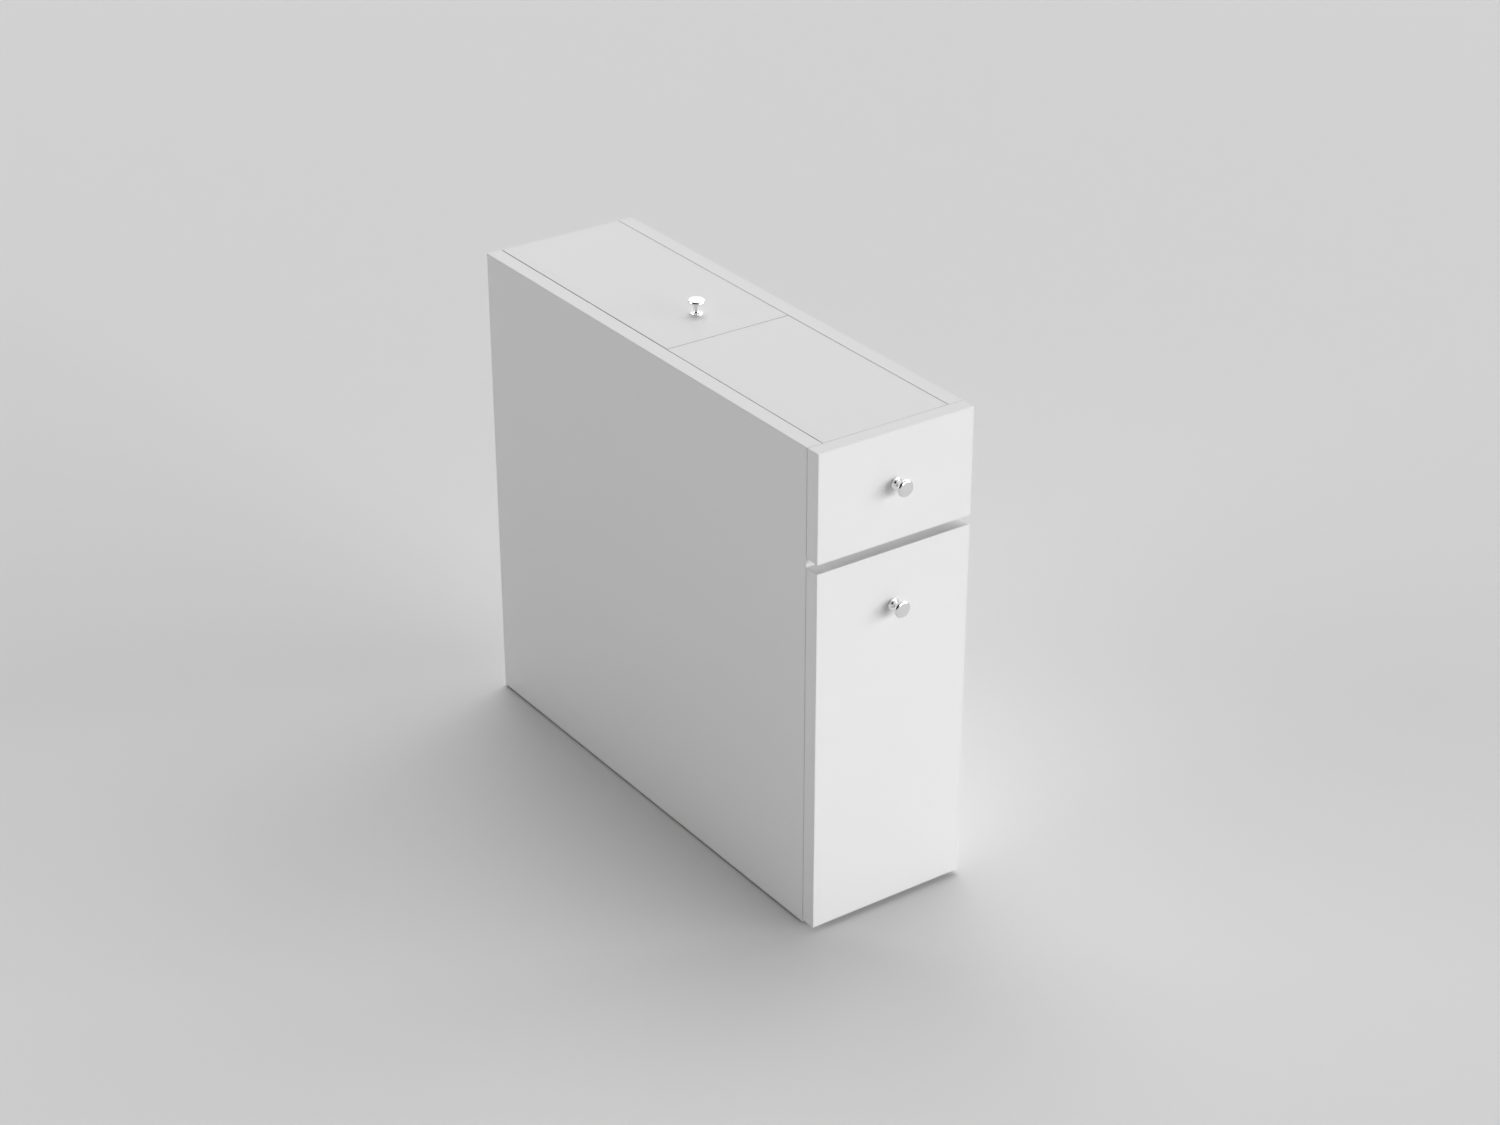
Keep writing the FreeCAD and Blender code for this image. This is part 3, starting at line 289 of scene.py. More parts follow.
class SharedEffect(SharedGroup):
    """A group that several finishes use, each with its own values."""

    def use(self, sketch: NodeSketch, inputs: dict) -> bpy.types.bpy_prop_collection:
        """Place the group in a material.

        Args:
            sketch: The material's tree.
            inputs: Value or source socket for each input, by name.

        Returns:
            The group's output sockets, by name.
        """
        return sketch.add("ShaderNodeGroup", inputs, node_tree=self.group()).outputs


class BandedEdge(SharedEffect):
    """Marks a board's edge band, its glue line, its bare core, and a band along its edges for
    painted shade.
    """

    title = "Banded board edge"
    takes = sockets(
        VECTOR, "Position", "Normal", "Low Corner", "High Corner", "Across", "Bare Side",
        "Bare Ends",
    ) + sockets(NUMBER, "Band", "Joint Width")
    gives = sockets(NUMBER, "Joint", "Core", "Rim", "End", "Seam")

    core_depth: float = 0.45 * MM
    painted_shade_width: float = 0.45 * MM
    rim_width: float = 1.6 * MM
    far_away: float = 10.0
    line_fade: Span = (0.3, 1.0)
    square_on: Span = (0.9, 0.99)
    turned_to: Span = (0.7, 0.9)
    leaning_to: Span = (0.1, 0.35)

    def draw(self, sketch: NodeSketch, given: bpy.types.bpy_prop_collection) -> dict:
        """Measure each point's distance to the board's six sides.

        Args:
            sketch: The tree that is laid out.
            given: What the group's inputs bring, by name.

        Returns:
            The source socket of each output, by name.
        """
        place, normal, across = given["Position"], given["Normal"], given["Across"]
        from_low = sketch.vector("SUBTRACT", place, given["Low Corner"])
        from_high = sketch.vector("SUBTRACT", given["High Corner"], place)
        near = sketch.vector("MINIMUM", from_low, from_high)
        drilled = sketch.rise(sketch.least(near), (self.core_depth, 2 * self.core_depth))

        edge = sketch.least(sketch.vector("ADD", near, sketch.scaled(across, self.far_away)))
        facing = sketch.maths("ABSOLUTE", sketch.dot(normal, across))
        off_line = sketch.maths("ABSOLUTE", sketch.maths("SUBTRACT", edge, given["Band"]))
        share = sketch.maths("DIVIDE", off_line, given["Joint Width"])
        line = sketch.fall(share, self.line_fade)
        joint = sketch.maths("MULTIPLY", line, sketch.rise(facing, self.square_on))

        bare = sketch.rise(sketch.dot(normal, given["Bare Side"]), self.turned_to)
        along = sketch.maths("ABSOLUTE", sketch.dot(normal, given["Bare Ends"]))
        end = sketch.rise(along, self.turned_to)
        core = sketch.maths("MAXIMUM", sketch.maths("MAXIMUM", drilled, bare), end)
        rim = sketch.fall(edge, (0.0, self.rim_width))
        # Painted shade: a band along every edge, which a finish darkens to stand in for the shadow
        # in a narrow gap.
        painted_shade = sketch.fall(edge, (0.0, self.painted_shade_width))
        painted_shade = sketch.maths("MULTIPLY", painted_shade, sketch.rise(facing, self.leaning_to))
        return {"Joint": joint, "Core": core, "Rim": rim, "End": end, "Seam": painted_shade}


class Mottle(SharedEffect):
    """Fine unevenness of a pressed, sprayed or moulded skin, with faint cloudiness."""

    title = "Skin mottle"
    takes = sockets(VECTOR, "Position") + sockets(
        NUMBER, "Grain Scale", "Cloud Scale", "Cloud Amount"
    )
    gives = sockets(NUMBER, "Height", "Shade")

    grain_detail: float = 3.0
    grain_roughness: float = 0.55
    cloud_detail: float = 2.0
    cloud_roughness: float = 0.5
    noise_middle: float = 0.5

    def draw(self, sketch: NodeSketch, given: bpy.types.bpy_prop_collection) -> dict:
        """Two noises: a fine one for height, a broad one for tone.

        Args:
            sketch: The tree that is laid out.
            given: What the group's inputs bring, by name.

        Returns:
            The source socket of each output, by name.
        """
        place = given["Position"]
        fine = sketch.noise(
            place, given["Grain Scale"], Detail=self.grain_detail, Roughness=self.grain_roughness
        )
        broad = sketch.noise(
            place, given["Cloud Scale"], Detail=self.cloud_detail, Roughness=self.cloud_roughness
        )
        swing = sketch.maths("SUBTRACT", broad, self.noise_middle)
        swing = sketch.maths("MULTIPLY", swing, given["Cloud Amount"])
        return {"Height": fine, "Shade": sketch.maths("ADD", 1.0, swing)}


class Handling(SharedEffect):
    """Faint wiped smears that change only how sharply a surface reflects."""

    title = "Handling smears"
    takes = sockets(VECTOR, "Position") + sockets(NUMBER, "Smear Scale", "Roughness", "Amount")
    gives = sockets(NUMBER, "Roughness")

    stretch: Point = (1.0, 1.0, 0.35)
    detail: float = 4.0
    distortion: float = 0.6
    patch: Span = (0.48, 0.68)

    def draw(self, sketch: NodeSketch, given: bpy.types.bpy_prop_collection) -> dict:
        """A stretched noise, thresholded softly into patches.

        Args:
            sketch: The tree that is laid out.
            given: What the group's inputs bring, by name.

        Returns:
            The source socket of each output, by name.
        """
        drawn = sketch.vector("MULTIPLY", given["Position"], self.stretch)
        noise = sketch.noise(
            drawn, given["Smear Scale"], Detail=self.detail, Distortion=self.distortion
        )
        extra = sketch.maths("MULTIPLY", sketch.rise(noise, self.patch), given["Amount"])
        return {"Roughness": sketch.maths("ADD", given["Roughness"], extra)}


class PressedCore(SharedEffect):
    """Chips of wood pressed into a board, seen in holes and on bare edges."""

    title = "Pressed wood core"
    takes = sockets(VECTOR, "Position") + sockets(NUMBER, "Chip Scale")
    gives = sockets(COLOUR, "Colour") + sockets(NUMBER, "Height")

    dark: Colour = (0.26, 0.17, 0.09)
    light: Colour = (0.58, 0.43, 0.26)

    def draw(self, sketch: NodeSketch, given: bpy.types.bpy_prop_collection) -> dict:
        """Cells of random tone between the dark and the light wood.

        Args:
            sketch: The tree that is laid out.
            given: What the group's inputs bring, by name.

        Returns:
            The source socket of each output, by name.
        """
        cells = {"Vector": given["Position"], "Scale": given["Chip Scale"]}
        chips = sketch.add("ShaderNodeTexVoronoi", cells).outputs
        tone = sketch.add("ShaderNodeSeparateColor", {0: chips["Color"]}).outputs[0]
        colour = sketch.blend(tone, colour_value(self.dark), colour_value(self.light))
        return {"Colour": colour, "Height": chips["Distance"]}


class LongGrain(SharedEffect):
    """Grain, fibres or polishing marks that a stretch draws out along one direction."""

    title = "Long grain"
    takes = sockets(VECTOR, "Position", "Stretch") + sockets(NUMBER, "Line Scale")
    gives = sockets(NUMBER, "Line")

    detail: float = 5.0
    roughness: float = 0.6

    def draw(self, sketch: NodeSketch, given: bpy.types.bpy_prop_collection) -> dict:
        """Noise on a position that is squeezed along the grain.

        Args:
            sketch: The tree that is laid out.
            given: What the group's inputs bring, by name.

        Returns:
            The source socket of each output, by name.
        """
        drawn = sketch.vector("MULTIPLY", given["Position"], given["Stretch"])
        line = sketch.noise(
            drawn, given["Line Scale"], Detail=self.detail, Roughness=self.roughness
        )
        return {"Line": line}


BANDED_EDGE = BandedEdge()
MOTTLE = Mottle()
HANDLING = Handling()
PRESSED_CORE = PressedCore()
LONG_GRAIN = LongGrain()


@dataclass(frozen=True)
class Finish:
    """What every finish shares: a title and the start of its material."""

    title: str = "Finish"
    shader_column: float = 3200.0
    output_column: float = 3500.0

    def start(self, title: str) -> tuple[bpy.types.Material, NodeSketch, bpy.types.Node]:
        """A material with a Principled shader on its output.

        Args:
            title: The material's name.

        Returns:
            The material, its node sketch and the Principled node.
        """
        material = bpy.data.materials.new(title)
        material.use_nodes = True
        sketch = NodeSketch(material.node_tree)
        shader = sketch.add("ShaderNodeBsdfPrincipled")
        output = sketch.add("ShaderNodeOutputMaterial", {"Surface": shader.outputs["BSDF"]})
        shader.location = (self.shader_column, 0.0)
        output.location = (self.output_column, 0.0)
        return material, sketch, shader

    def relief(
        self, sketch: NodeSketch, shader: bpy.types.Node, height: object, depth: float
    ) -> None:
        """Feed a height to the shader's normal through a Bump node."""
        bump = sketch.add("ShaderNodeBump", {"Strength": 1.0, "Distance": depth, "Height": height})
        sketch.feed(shader.inputs["Normal"], bump.outputs["Normal"])


@dataclass(frozen=True)
class BoardFinish(Finish):
    """White laminate on pressed board, with a glued band round its edges, and painted shade along
    chosen edges.
    """

    title: str = "White laminated board"
    white: Colour = grey(0.80)
    band_white: Colour = grey(0.805)
    joint_grey: Colour = grey(0.52)
    # Dark grey painted on edges as the shade in a narrow gap.
    painted_shade_grey: Colour = grey(0.16)
    band: float = 0.8 * MM
    joint_width: float = 0.09 * MM
    roughness: float = 0.36
    smear: float = 0.05
    smear_scale: float = 9.0
    pearl_scale: float = 1400.0
    pearl_depth: float = 0.006 * MM
    cloud_scale: float = 5.0
    cloud_amount: float = 0.012
    chip_scale: float = 900.0
    chip_depth: float = 0.12 * MM
    core_roughness: float = 0.85

    def material(
        self, node: str, across: Axis, bare: Vector | None = None, ends: Axis | None = None,
        painted_shade_mark: str | None = None,
    ) -> bpy.types.Material:
        """The finish of one board.

        Args:
            node: The board's node, whose box gives the edges.
            across: The axis through the board's thickness.
            bare: The direction in which the board's edge has no band, if any.
            ends: The axis at both ends of which the edges have no band, if any.
            painted_shade_mark: The mark of the edges that get painted shade, a dark grey standing
                in for the shadow in a narrow gap: the cut ends or the rounded edges, if any.

        Returns:
            A material of that board's own.
        """
        low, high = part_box(node)
        nowhere = Vector((0.0, 0.0, 0.0))
        material, sketch, shader = self.start(f"{self.title} {node}")
        here = sketch.add("ShaderNodeTexCoord").outputs
        place = here["Object"]
        edge = BANDED_EDGE.use(sketch, {
            "Position": place, "Normal": here["Normal"],
            "Low Corner": low, "High Corner": high, "Across": across.vector(),
            "Bare Side": bare or nowhere, "Bare Ends": ends.vector() if ends else nowhere,
            "Band": self.band, "Joint Width": self.joint_width,
        })
        skin = MOTTLE.use(sketch, {
            "Position": place, "Grain Scale": self.pearl_scale,
            "Cloud Scale": self.cloud_scale, "Cloud Amount": self.cloud_amount,
        })
        chips = PRESSED_CORE.use(sketch, {"Position": place, "Chip Scale": self.chip_scale})
        core = edge["Core"]
        white = sketch.blend(edge["Rim"], colour_value(self.white), colour_value(self.band_white))
        white = sketch.blend(edge["Joint"], white, colour_value(self.joint_grey))
        colour = sketch.blend(core, sketch.scaled(white, skin["Shade"]), chips["Colour"])
        # Painted shade: the chosen edges turn dark grey, standing in for the shadow in a narrow
        # gap.
        if painted_shade_mark:
            colour = sketch.blend(edge[painted_shade_mark], colour, colour_value(self.painted_shade_grey))
        sketch.feed(shader.inputs["Base Color"], colour)

        smooth_skin = HANDLING.use(sketch, {
            "Position": place, "Smear Scale": self.smear_scale,
            "Roughness": self.roughness, "Amount": self.smear,
        })["Roughness"]
        extra = sketch.maths("SUBTRACT", self.core_roughness, smooth_skin)
        extra = sketch.maths("MULTIPLY", extra, core)
        sketch.feed(shader.inputs["Roughness"], sketch.maths("ADD", smooth_skin, extra))
        pearl = sketch.maths("MULTIPLY", skin["Height"], self.pearl_depth / self.chip_depth)
        rough = sketch.maths("MULTIPLY", chips["Height"], core)
        self.relief(sketch, shader, sketch.maths("ADD", pearl, rough), self.chip_depth)
        return material


@dataclass(frozen=True)
class HardboardFinish(Finish):
    """Hardboard with a lacquered top and a bare, screen-marked underside."""

    title: str = "Lacquered hardboard"
    white: Colour = grey(0.76)
    brown: Colour = (0.23, 0.13, 0.07)
    roughness: float = 0.42
    bare_roughness: float = 0.8
    lacquered: Span = (-0.2, 0.5)
    screen_scale: float = 2600.0
    screen_depth: float = 0.06 * MM
    skin_scale: float = 1100.0
    skin_depth: float = 0.008 * MM
    cloud_scale: float = 14.0
    cloud_amount: float = 0.05

    def material(self) -> bpy.types.Material:
        """One material for both drawer bottoms.

        Returns:
            A material that both share.
        """
        material, sketch, shader = self.start(self.title)
        here = sketch.add("ShaderNodeTexCoord").outputs
        place = here["Object"]
        bare = sketch.fall(sketch.dot(here["Normal"], Axis.Z.vector()), self.lacquered)
        skin = MOTTLE.use(sketch, {
            "Position": place, "Grain Scale": self.skin_scale,
            "Cloud Scale": self.cloud_scale, "Cloud Amount": self.cloud_amount,
        })
        brown = sketch.scaled(self.brown, skin["Shade"])
        colour = sketch.blend(bare, colour_value(self.white), brown)
        sketch.feed(shader.inputs["Base Color"], colour)
        rough = sketch.maths("MULTIPLY", bare, self.bare_roughness - self.roughness)
        sketch.feed(shader.inputs["Roughness"], sketch.maths("ADD", rough, self.roughness))
        screen = sketch.add("ShaderNodeTexVoronoi", {"Vector": place, "Scale": self.screen_scale})
        marks = sketch.maths("MULTIPLY", screen.outputs["Distance"], bare)
        fine = sketch.maths("MULTIPLY", skin["Height"], self.skin_depth / self.screen_depth)
        self.relief(sketch, shader, sketch.maths("ADD", marks, fine), self.screen_depth)
        return material


@dataclass(frozen=True)
class SkinFinish(Finish):
    """One stuff throughout, with a faintly clouded colour and smears from handling."""

    colour: Colour = grey(0.5)
    roughness: float = 0.5
    smear: float = 0.05
    smear_scale: float = 60.0
    grain_scale: float = 900.0
    cloud_amount: float = 0.05

    def material(self) -> bpy.types.Material:
        """The stuff's material.

        Returns:
            A material that all its pieces share.
        """
        material, sketch, shader = self.start(self.title)
        place = sketch.add("ShaderNodeTexCoord").outputs["Object"]
        skin = MOTTLE.use(sketch, {
            "Position": place, "Grain Scale": self.grain_scale,
            "Cloud Scale": self.smear_scale, "Cloud Amount": self.cloud_amount,
        })
        sketch.feed(shader.inputs["Base Color"], sketch.scaled(self.colour, skin["Shade"]))
        smears = HANDLING.use(sketch, {
            "Position": place, "Smear Scale": self.smear_scale,
            "Roughness": self.roughness, "Amount": self.smear,
        })
        sketch.feed(shader.inputs["Roughness"], smears["Roughness"])
        self.work(sketch, shader, place, skin["Height"])
        return material

    def work(
        self, sketch: NodeSketch, shader: bpy.types.Node, place: Socket, grain: Socket
    ) -> None:
        """Add what only this kind of stuff has.

        Args:
            sketch: The material's tree.
            shader: Its Principled node.
            place: The position on the piece.
            grain: The height of the skin's fine grain.
        """
        raise NotImplementedError


@dataclass(frozen=True)
class MetalFinish(SkinFinish):
    """Polished, plated or cast metal, with faint polishing marks."""

    title: str = "Polished chrome"
    colour: Colour = (0.90, 0.90, 0.91)
    roughness: float = 0.04
    smear_scale: float = 240.0
    cloud_amount: float = 0.02
    line_stretch: Point = (1.0, 1.0, 1.0)
    line_depth: float = 0.0004 * MM

    def work(
        self, sketch: NodeSketch, shader: bpy.types.Node, place: Socket, grain: Socket
    ) -> None:
        """Make it metal, with the polishing marks as its relief.

        Args:
            sketch: The tree that is laid out.
            shader: The material's Principled node.
            place: The position on the piece.
            grain: The height of the skin's fine grain, which metal goes without.
        """
        shader.inputs["Metallic"].default_value = 1.0
        lines = LONG_GRAIN.use(sketch, {
            "Position": place, "Stretch": self.line_stretch, "Line Scale": self.grain_scale,
        })
        self.relief(sketch, shader, lines["Line"], self.line_depth)


@dataclass(frozen=True)
class MouldedFinish(SkinFinish):
    """Plain plastic, rubber or enamel, with the faint unevenness of its making."""

    title: str = "Natural nylon"
    colour: Colour = (0.74, 0.74, 0.70)
    roughness: float = 0.45
    smear: float = 0.08
    grain_scale: float = 1200.0
    grain_depth: float = 0.01 * MM
    subsurface: float = 0.0

    def work(
        self, sketch: NodeSketch, shader: bpy.types.Node, place: Socket, grain: Socket
    ) -> None:
        """Let light into it, with the skin's grain as its relief."""
        shader.inputs["Subsurface Weight"].default_value = self.subsurface
        self.relief(sketch, shader, grain, self.grain_depth)


@dataclass(frozen=True)
class BeechFinish(Finish):
    """Turned beech with its short dark flecks along the dowel."""

    title: str = "Turned beech"
    light: Colour = (0.60, 0.42, 0.25)
    dark: Colour = (0.42, 0.27, 0.15)
    fleck: Span = (0.35, 0.65)
    roughness: float = 0.6
    grain_scale: float = 700.0
    grain_stretch: Point = (0.12, 1.0, 1.0)
    grain_depth: float = 0.03 * MM

    def material(self) -> bpy.types.Material:
        """The dowels' material.

        Returns:
            A material that all the dowels share.
        """
        material, sketch, shader = self.start(self.title)
        line = LONG_GRAIN.use(sketch, {
            "Position": sketch.add("ShaderNodeTexCoord").outputs["Object"],
            "Stretch": self.grain_stretch, "Line Scale": self.grain_scale,
        })["Line"]
        share = sketch.rise(line, self.fleck)
        colour = sketch.blend(share, colour_value(self.light), colour_value(self.dark))
        sketch.feed(shader.inputs["Base Color"], colour)
        shader.inputs["Roughness"].default_value = self.roughness
        self.relief(sketch, shader, line, self.grain_depth)
        return material


@dataclass(frozen=True)
class Finishes:
    """The finishes of the whole cabinet."""

    board: BoardFinish = BoardFinish()
    wrapped: BoardFinish = BoardFinish(
        title="Wrapped drawer board", white=grey(0.77), band_white=grey(0.775),
        roughness=0.42, band=0.5 * MM,
    )
    hardboard: HardboardFinish = HardboardFinish()
    chrome: MetalFinish = MetalFinish()
    zinc_casting: MetalFinish = MetalFinish(
        title="Cast zinc", colour=(0.50, 0.51, 0.52), roughness=0.38, smear=0.15,
        line_depth=0.01 * MM, cloud_amount=0.12,
    )
    zinc_plate: MetalFinish = MetalFinish(
        title="Bright zinc plate", colour=(0.62, 0.63, 0.65), roughness=0.22, smear=0.12,
        line_depth=0.003 * MM, cloud_amount=0.08,
    )
    enamel: MouldedFinish = MouldedFinish(
        title="White runner enamel", colour=grey(0.72), roughness=0.28, smear=0.1,
        grain_scale=900.0, grain_depth=0.02 * MM,
    )
    nylon: MouldedFinish = MouldedFinish(subsurface=0.1)
    glide: MouldedFinish = MouldedFinish(
        title="Grey polyethylene", colour=grey(0.07), roughness=0.5,
    )
    buffer: MouldedFinish = MouldedFinish(
        title="Soft clear buffer", colour=(0.55, 0.56, 0.56), roughness=0.25, subsurface=0.3,
    )
    beech: BeechFinish = BeechFinish()


class MaterialShelf:
    """Keeps one material for each finish that many pieces share."""

    def __init__(self) -> None:
        """Start with nothing mixed."""
        self.kept: dict[str, bpy.types.Material] = {}

    def of(self, finish: Finish) -> bpy.types.Material:
        """The finish's material, made on first use.

        Args:
            finish: The finish.

        Returns:
            Its one material.
        """
        if finish.title not in self.kept:
            self.kept[finish.title] = finish.material()
        return self.kept[finish.title]


def dress(node: bpy.types.Object, material: bpy.types.Material) -> None:
    """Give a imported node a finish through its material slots.

    Args:
        node: The node's object.
        material: Its finish.
    """
    if not node.material_slots:
        node.data.materials.append(material)
    for slot in node.material_slots:
        slot.material = material


def arc(centre: Sequence[float], radius: float, start: float, end: float, steps: int) -> list:
    """Points of a round stretch of a half profile.

    Args:
        centre: Radius and height of the arc's centre.
        radius: The arc's radius.
        start: First angle in degrees, from the radial direction.
        end: Last angle in degrees.
        steps: Number of chords.

    Returns:
        Pairs of radius and height.
    """
    turns = [math.radians(start + (end - start) * i / steps) for i in range(steps + 1)]
    return [
        (centre[0] + radius * math.cos(turn), centre[1] + radius * math.sin(turn))
        for turn in turns
    ]


class Lathe:
    """Turns half profiles about +z into closed meshes."""

    least_radius: float = 1e-7

    def __init__(self, segments: int) -> None:
        """Set how many sides a turned ring has."""
        self.segments = segments

    def turn(
        self, name: str, profile: Sequence[tuple], closed: bool = False,
        flutes: int = 0, flute_depth: float = 0.0,
    ) -> bpy.types.Mesh:
        """Make the turned mesh.

        Args:
            name: The mesh's name.
            profile: Pairs of radius and height, from the low end upwards.
            closed: True where the last point joins the first, round a bore.
            flutes: Number of grooves along the outside.
            flute_depth: How deep the grooves are.

        Returns:
            A smooth mesh whose faces point outwards.
        """
        shape = bmesh.new()
        rings = [self.ring(shape, point, flutes, flute_depth) for point in profile]
        pairs = list(zip(rings, rings[1:]))
        if closed:
            pairs.append((rings[-1], rings[0]))
        for low, high in pairs:
            self.skin(shape, low, high)
        mesh = closed_mesh(shape, name)
        smooth(mesh)
        return mesh

    def ring(
        self, shape: bmesh.types.BMesh, point: tuple, flutes: int, flute_depth: float
    ) -> list:
        """One ring of vertices, or one vertex where the profile meets the axis.

        Args:
            shape: The shape under way.
            point: The ring's radius and height.
            flutes: Number of grooves round it.
            flute_depth: How deep the grooves are.

        Returns:
            The new vertices in order.
        """
        radius, height = point
        if radius < self.least_radius:
            return [shape.verts.new((0.0, 0.0, height))]
        ring = []
        for step in range(self.segments):
            turn = 2 * math.pi * step / self.segments
            groove = flute_depth * max(0.0, math.cos(flutes * turn)) if flutes else 0.0
            reach = radius - groove
            ring.append(shape.verts.new((reach * math.cos(turn), reach * math.sin(turn), height)))
        return ring

    def skin(self, shape: bmesh.types.BMesh, low: list, high: list) -> None:
        """Faces between two rings, or between a ring and a point.

        Args:
            shape: The shape under way.
            low: The vertices of the lower ring.
            high: The vertices of the upper ring.
        """
        for step in range(self.segments):
            after = (step + 1) % self.segments
            corners = [low[step % len(low)], low[after % len(low)],
                       high[after % len(high)], high[step % len(high)]]
            face = list(dict.fromkeys(corners))
            if len(face) > 2:
                shape.faces.new(face)


def closed_mesh(shape: bmesh.types.BMesh, name: str) -> bpy.types.Mesh:
    """Make a mesh of a closed shape, with its faces outwards, and free the shape.

    Args:
        shape: The shape.
        name: The mesh's name.

    Returns:
        The new mesh.
    """
    bmesh.ops.recalc_face_normals(shape, faces=shape.faces)
    mesh = bpy.data.meshes.new(name)
    shape.to_mesh(mesh)
    shape.free()
    return mesh


def smooth(mesh: bpy.types.Mesh) -> None:
    """Shade a mesh smooth, with its corners kept sharp."""
    mesh.polygons.foreach_set("use_smooth", [True] * len(mesh.polygons))
    mesh.set_sharp_from_angle(angle=CREASE)


def add_object(name: str, data: bpy.types.ID) -> bpy.types.Object:
    """Put a mesh, a light or a camera in the scene as an object at the origin.

    Args:
        name: The object's name.
        data: What it holds.

    Returns:
        The new object.
    """
    thing = bpy.data.objects.new(name, data)
    bpy.context.scene.collection.objects.link(thing)
    return thing


def remove_object(thing: bpy.types.Object) -> None:
    """Take a helper object out of the file with its mesh.

    Args:
        thing: The helper.
    """
    mesh = thing.data
    bpy.data.objects.remove(thing)
    if mesh is not None and mesh.users == 0:
        bpy.data.meshes.remove(mesh)


def baked(thing: bpy.types.Object, name: str) -> bpy.types.Mesh:
    """A plain mesh of what an object's modifiers make of it.

    Args:
        thing: The object.
        name: The new mesh's name.

    Returns:
        A mesh of its own.
    """
    bpy.context.view_layer.update()
    graph = bpy.context.evaluated_depsgraph_get()
    mesh = bpy.data.meshes.new_from_object(
        thing.evaluated_get(graph), preserve_all_data_layers=True, depsgraph=graph
    )
    mesh.name = name
    return mesh


def add_piece(
    name: str, mesh: bpy.types.Mesh, body: str, stands_for: Iterable[str]
) -> None:
    """Put a finished mesh in the scene as a piece of the cabinet.

    Args:
        name: The piece's name.
        mesh: Its mesh, already in place.
        body: The body that it moves with.
        stands_for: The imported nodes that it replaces.
    """
    piece = add_object(name, mesh)
    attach(piece, body)
    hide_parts(*stands_for)
    log.info("piece %s on %s, %d faces", name, body, len(mesh.polygons))


@dataclass(frozen=True)
class TurnedSolid:
    """The box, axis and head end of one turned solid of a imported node."""

    centre: Vector
    extent: Vector
    axis: Axis
    sign: float

    @property
    def length(self) -> float:
        """Its length along its axis."""
        return self.extent[self.axis.value]

    @property
    def radius(self) -> float:
        """Half its widest extent across the axis."""
        return max(self.extent[a.value] for a in Axis if a is not self.axis) / 2

    @property
    def aim(self) -> Vector:
        """The direction from its foot to its head."""
        return self.axis.vector(self.sign)

    @property
    def foot(self) -> Vector:
        """The middle of the end that its head faces away from."""
        return self.centre - self.aim * (self.length / 2)


class NodeReader:
    """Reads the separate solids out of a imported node's mesh."""

    weld: float = 2e-6
    end_share: float = 0.15
    order_digits: int = 5

    def solids(self, node: bpy.types.Object) -> list[TurnedSolid]:
        """Split a copy of the node's mesh into its solids.

        Args:
            node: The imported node.

        Returns:
            Each solid's box, axis and head end, ordered by place.
        """
        shape = bmesh.new()
        shape.from_mesh(node.data)
        bmesh.ops.remove_doubles(shape, verts=shape.verts, dist=self.weld)
        unseen = set(shape.verts)
        found = []
        while unseen:
            found.append(self.measure([v.co.copy() for v in self.island(unseen)]))
        shape.free()
        return sorted(
            found, key=lambda solid: tuple(round(c, self.order_digits) for c in solid.centre)
        )

    def island(self, unseen: set) -> list:
        """Take one connected set of vertices out of those not seen yet.

        Args:
            unseen: The vertices not seen yet.

        Returns:
            The set's vertices.
        """
        start = next(iter(unseen))
        unseen.discard(start)
        island, edge = [start], [start]
        while edge:
            vertex = edge.pop()
            for link in vertex.link_edges:
                other = link.other_vert(vertex)
                if other in unseen:
                    unseen.discard(other)
                    island.append(other)
                    edge.append(other)
        return island

    def measure(self, points: list[Vector]) -> TurnedSolid:
        """Find a solid's axis from its box, and its head as its wider or more finely cut end.

        Args:
            points: Where the solid's vertices are.

        Returns:
            Its box, axis and head end.
        """
        low = Vector([min(p[a.value] for p in points) for a in Axis])
        high = Vector([max(p[a.value] for p in points) for a in Axis])
        centre, extent = (low + high) / 2, high - low
        axis = max(Axis, key=lambda a: self.likeness(extent, a))
        reach = extent[axis.value] * self.end_share
        near_low = [p for p in points if p[axis.value] < low[axis.value] + reach]
        near_high = [p for p in points if p[axis.value] > high[axis.value] - reach]
        low_width, high_width = (self.width(end, centre, axis) for end in (near_low, near_high))
        alike = abs(high_width - low_width) < self.weld
        upward = len(near_high) >= len(near_low) if alike else high_width > low_width
        return TurnedSolid(centre, extent, axis, 1.0 if upward else -1.0)

    def likeness(self, extent: Vector, axis: Axis) -> float:
        """How alike the two extents across an axis are, 0 at best and below it else."""
        others = [extent[a.value] for a in Axis if a is not axis]
        return -abs(others[0] - others[1])

    def width(self, points: list[Vector], centre: Vector, axis: Axis) -> float:
        """The widest reach of some points from an axis through the centre.

        Args:
            points: The points.
            centre: Where the axis passes.
            axis: Its direction.

        Returns:
            The distance of the furthest one, or 0 without any.
        """
        offsets = [p - centre for p in points]
        for offset in offsets:
            offset[axis.value] = 0.0
        return max((offset.length for offset in offsets), default=0.0)


@dataclass(frozen=True)
class Thread:
    """A rolled thread on a fastener's shank."""

    start: float
    end: float
    root: float
    depth: float
    pitch: float


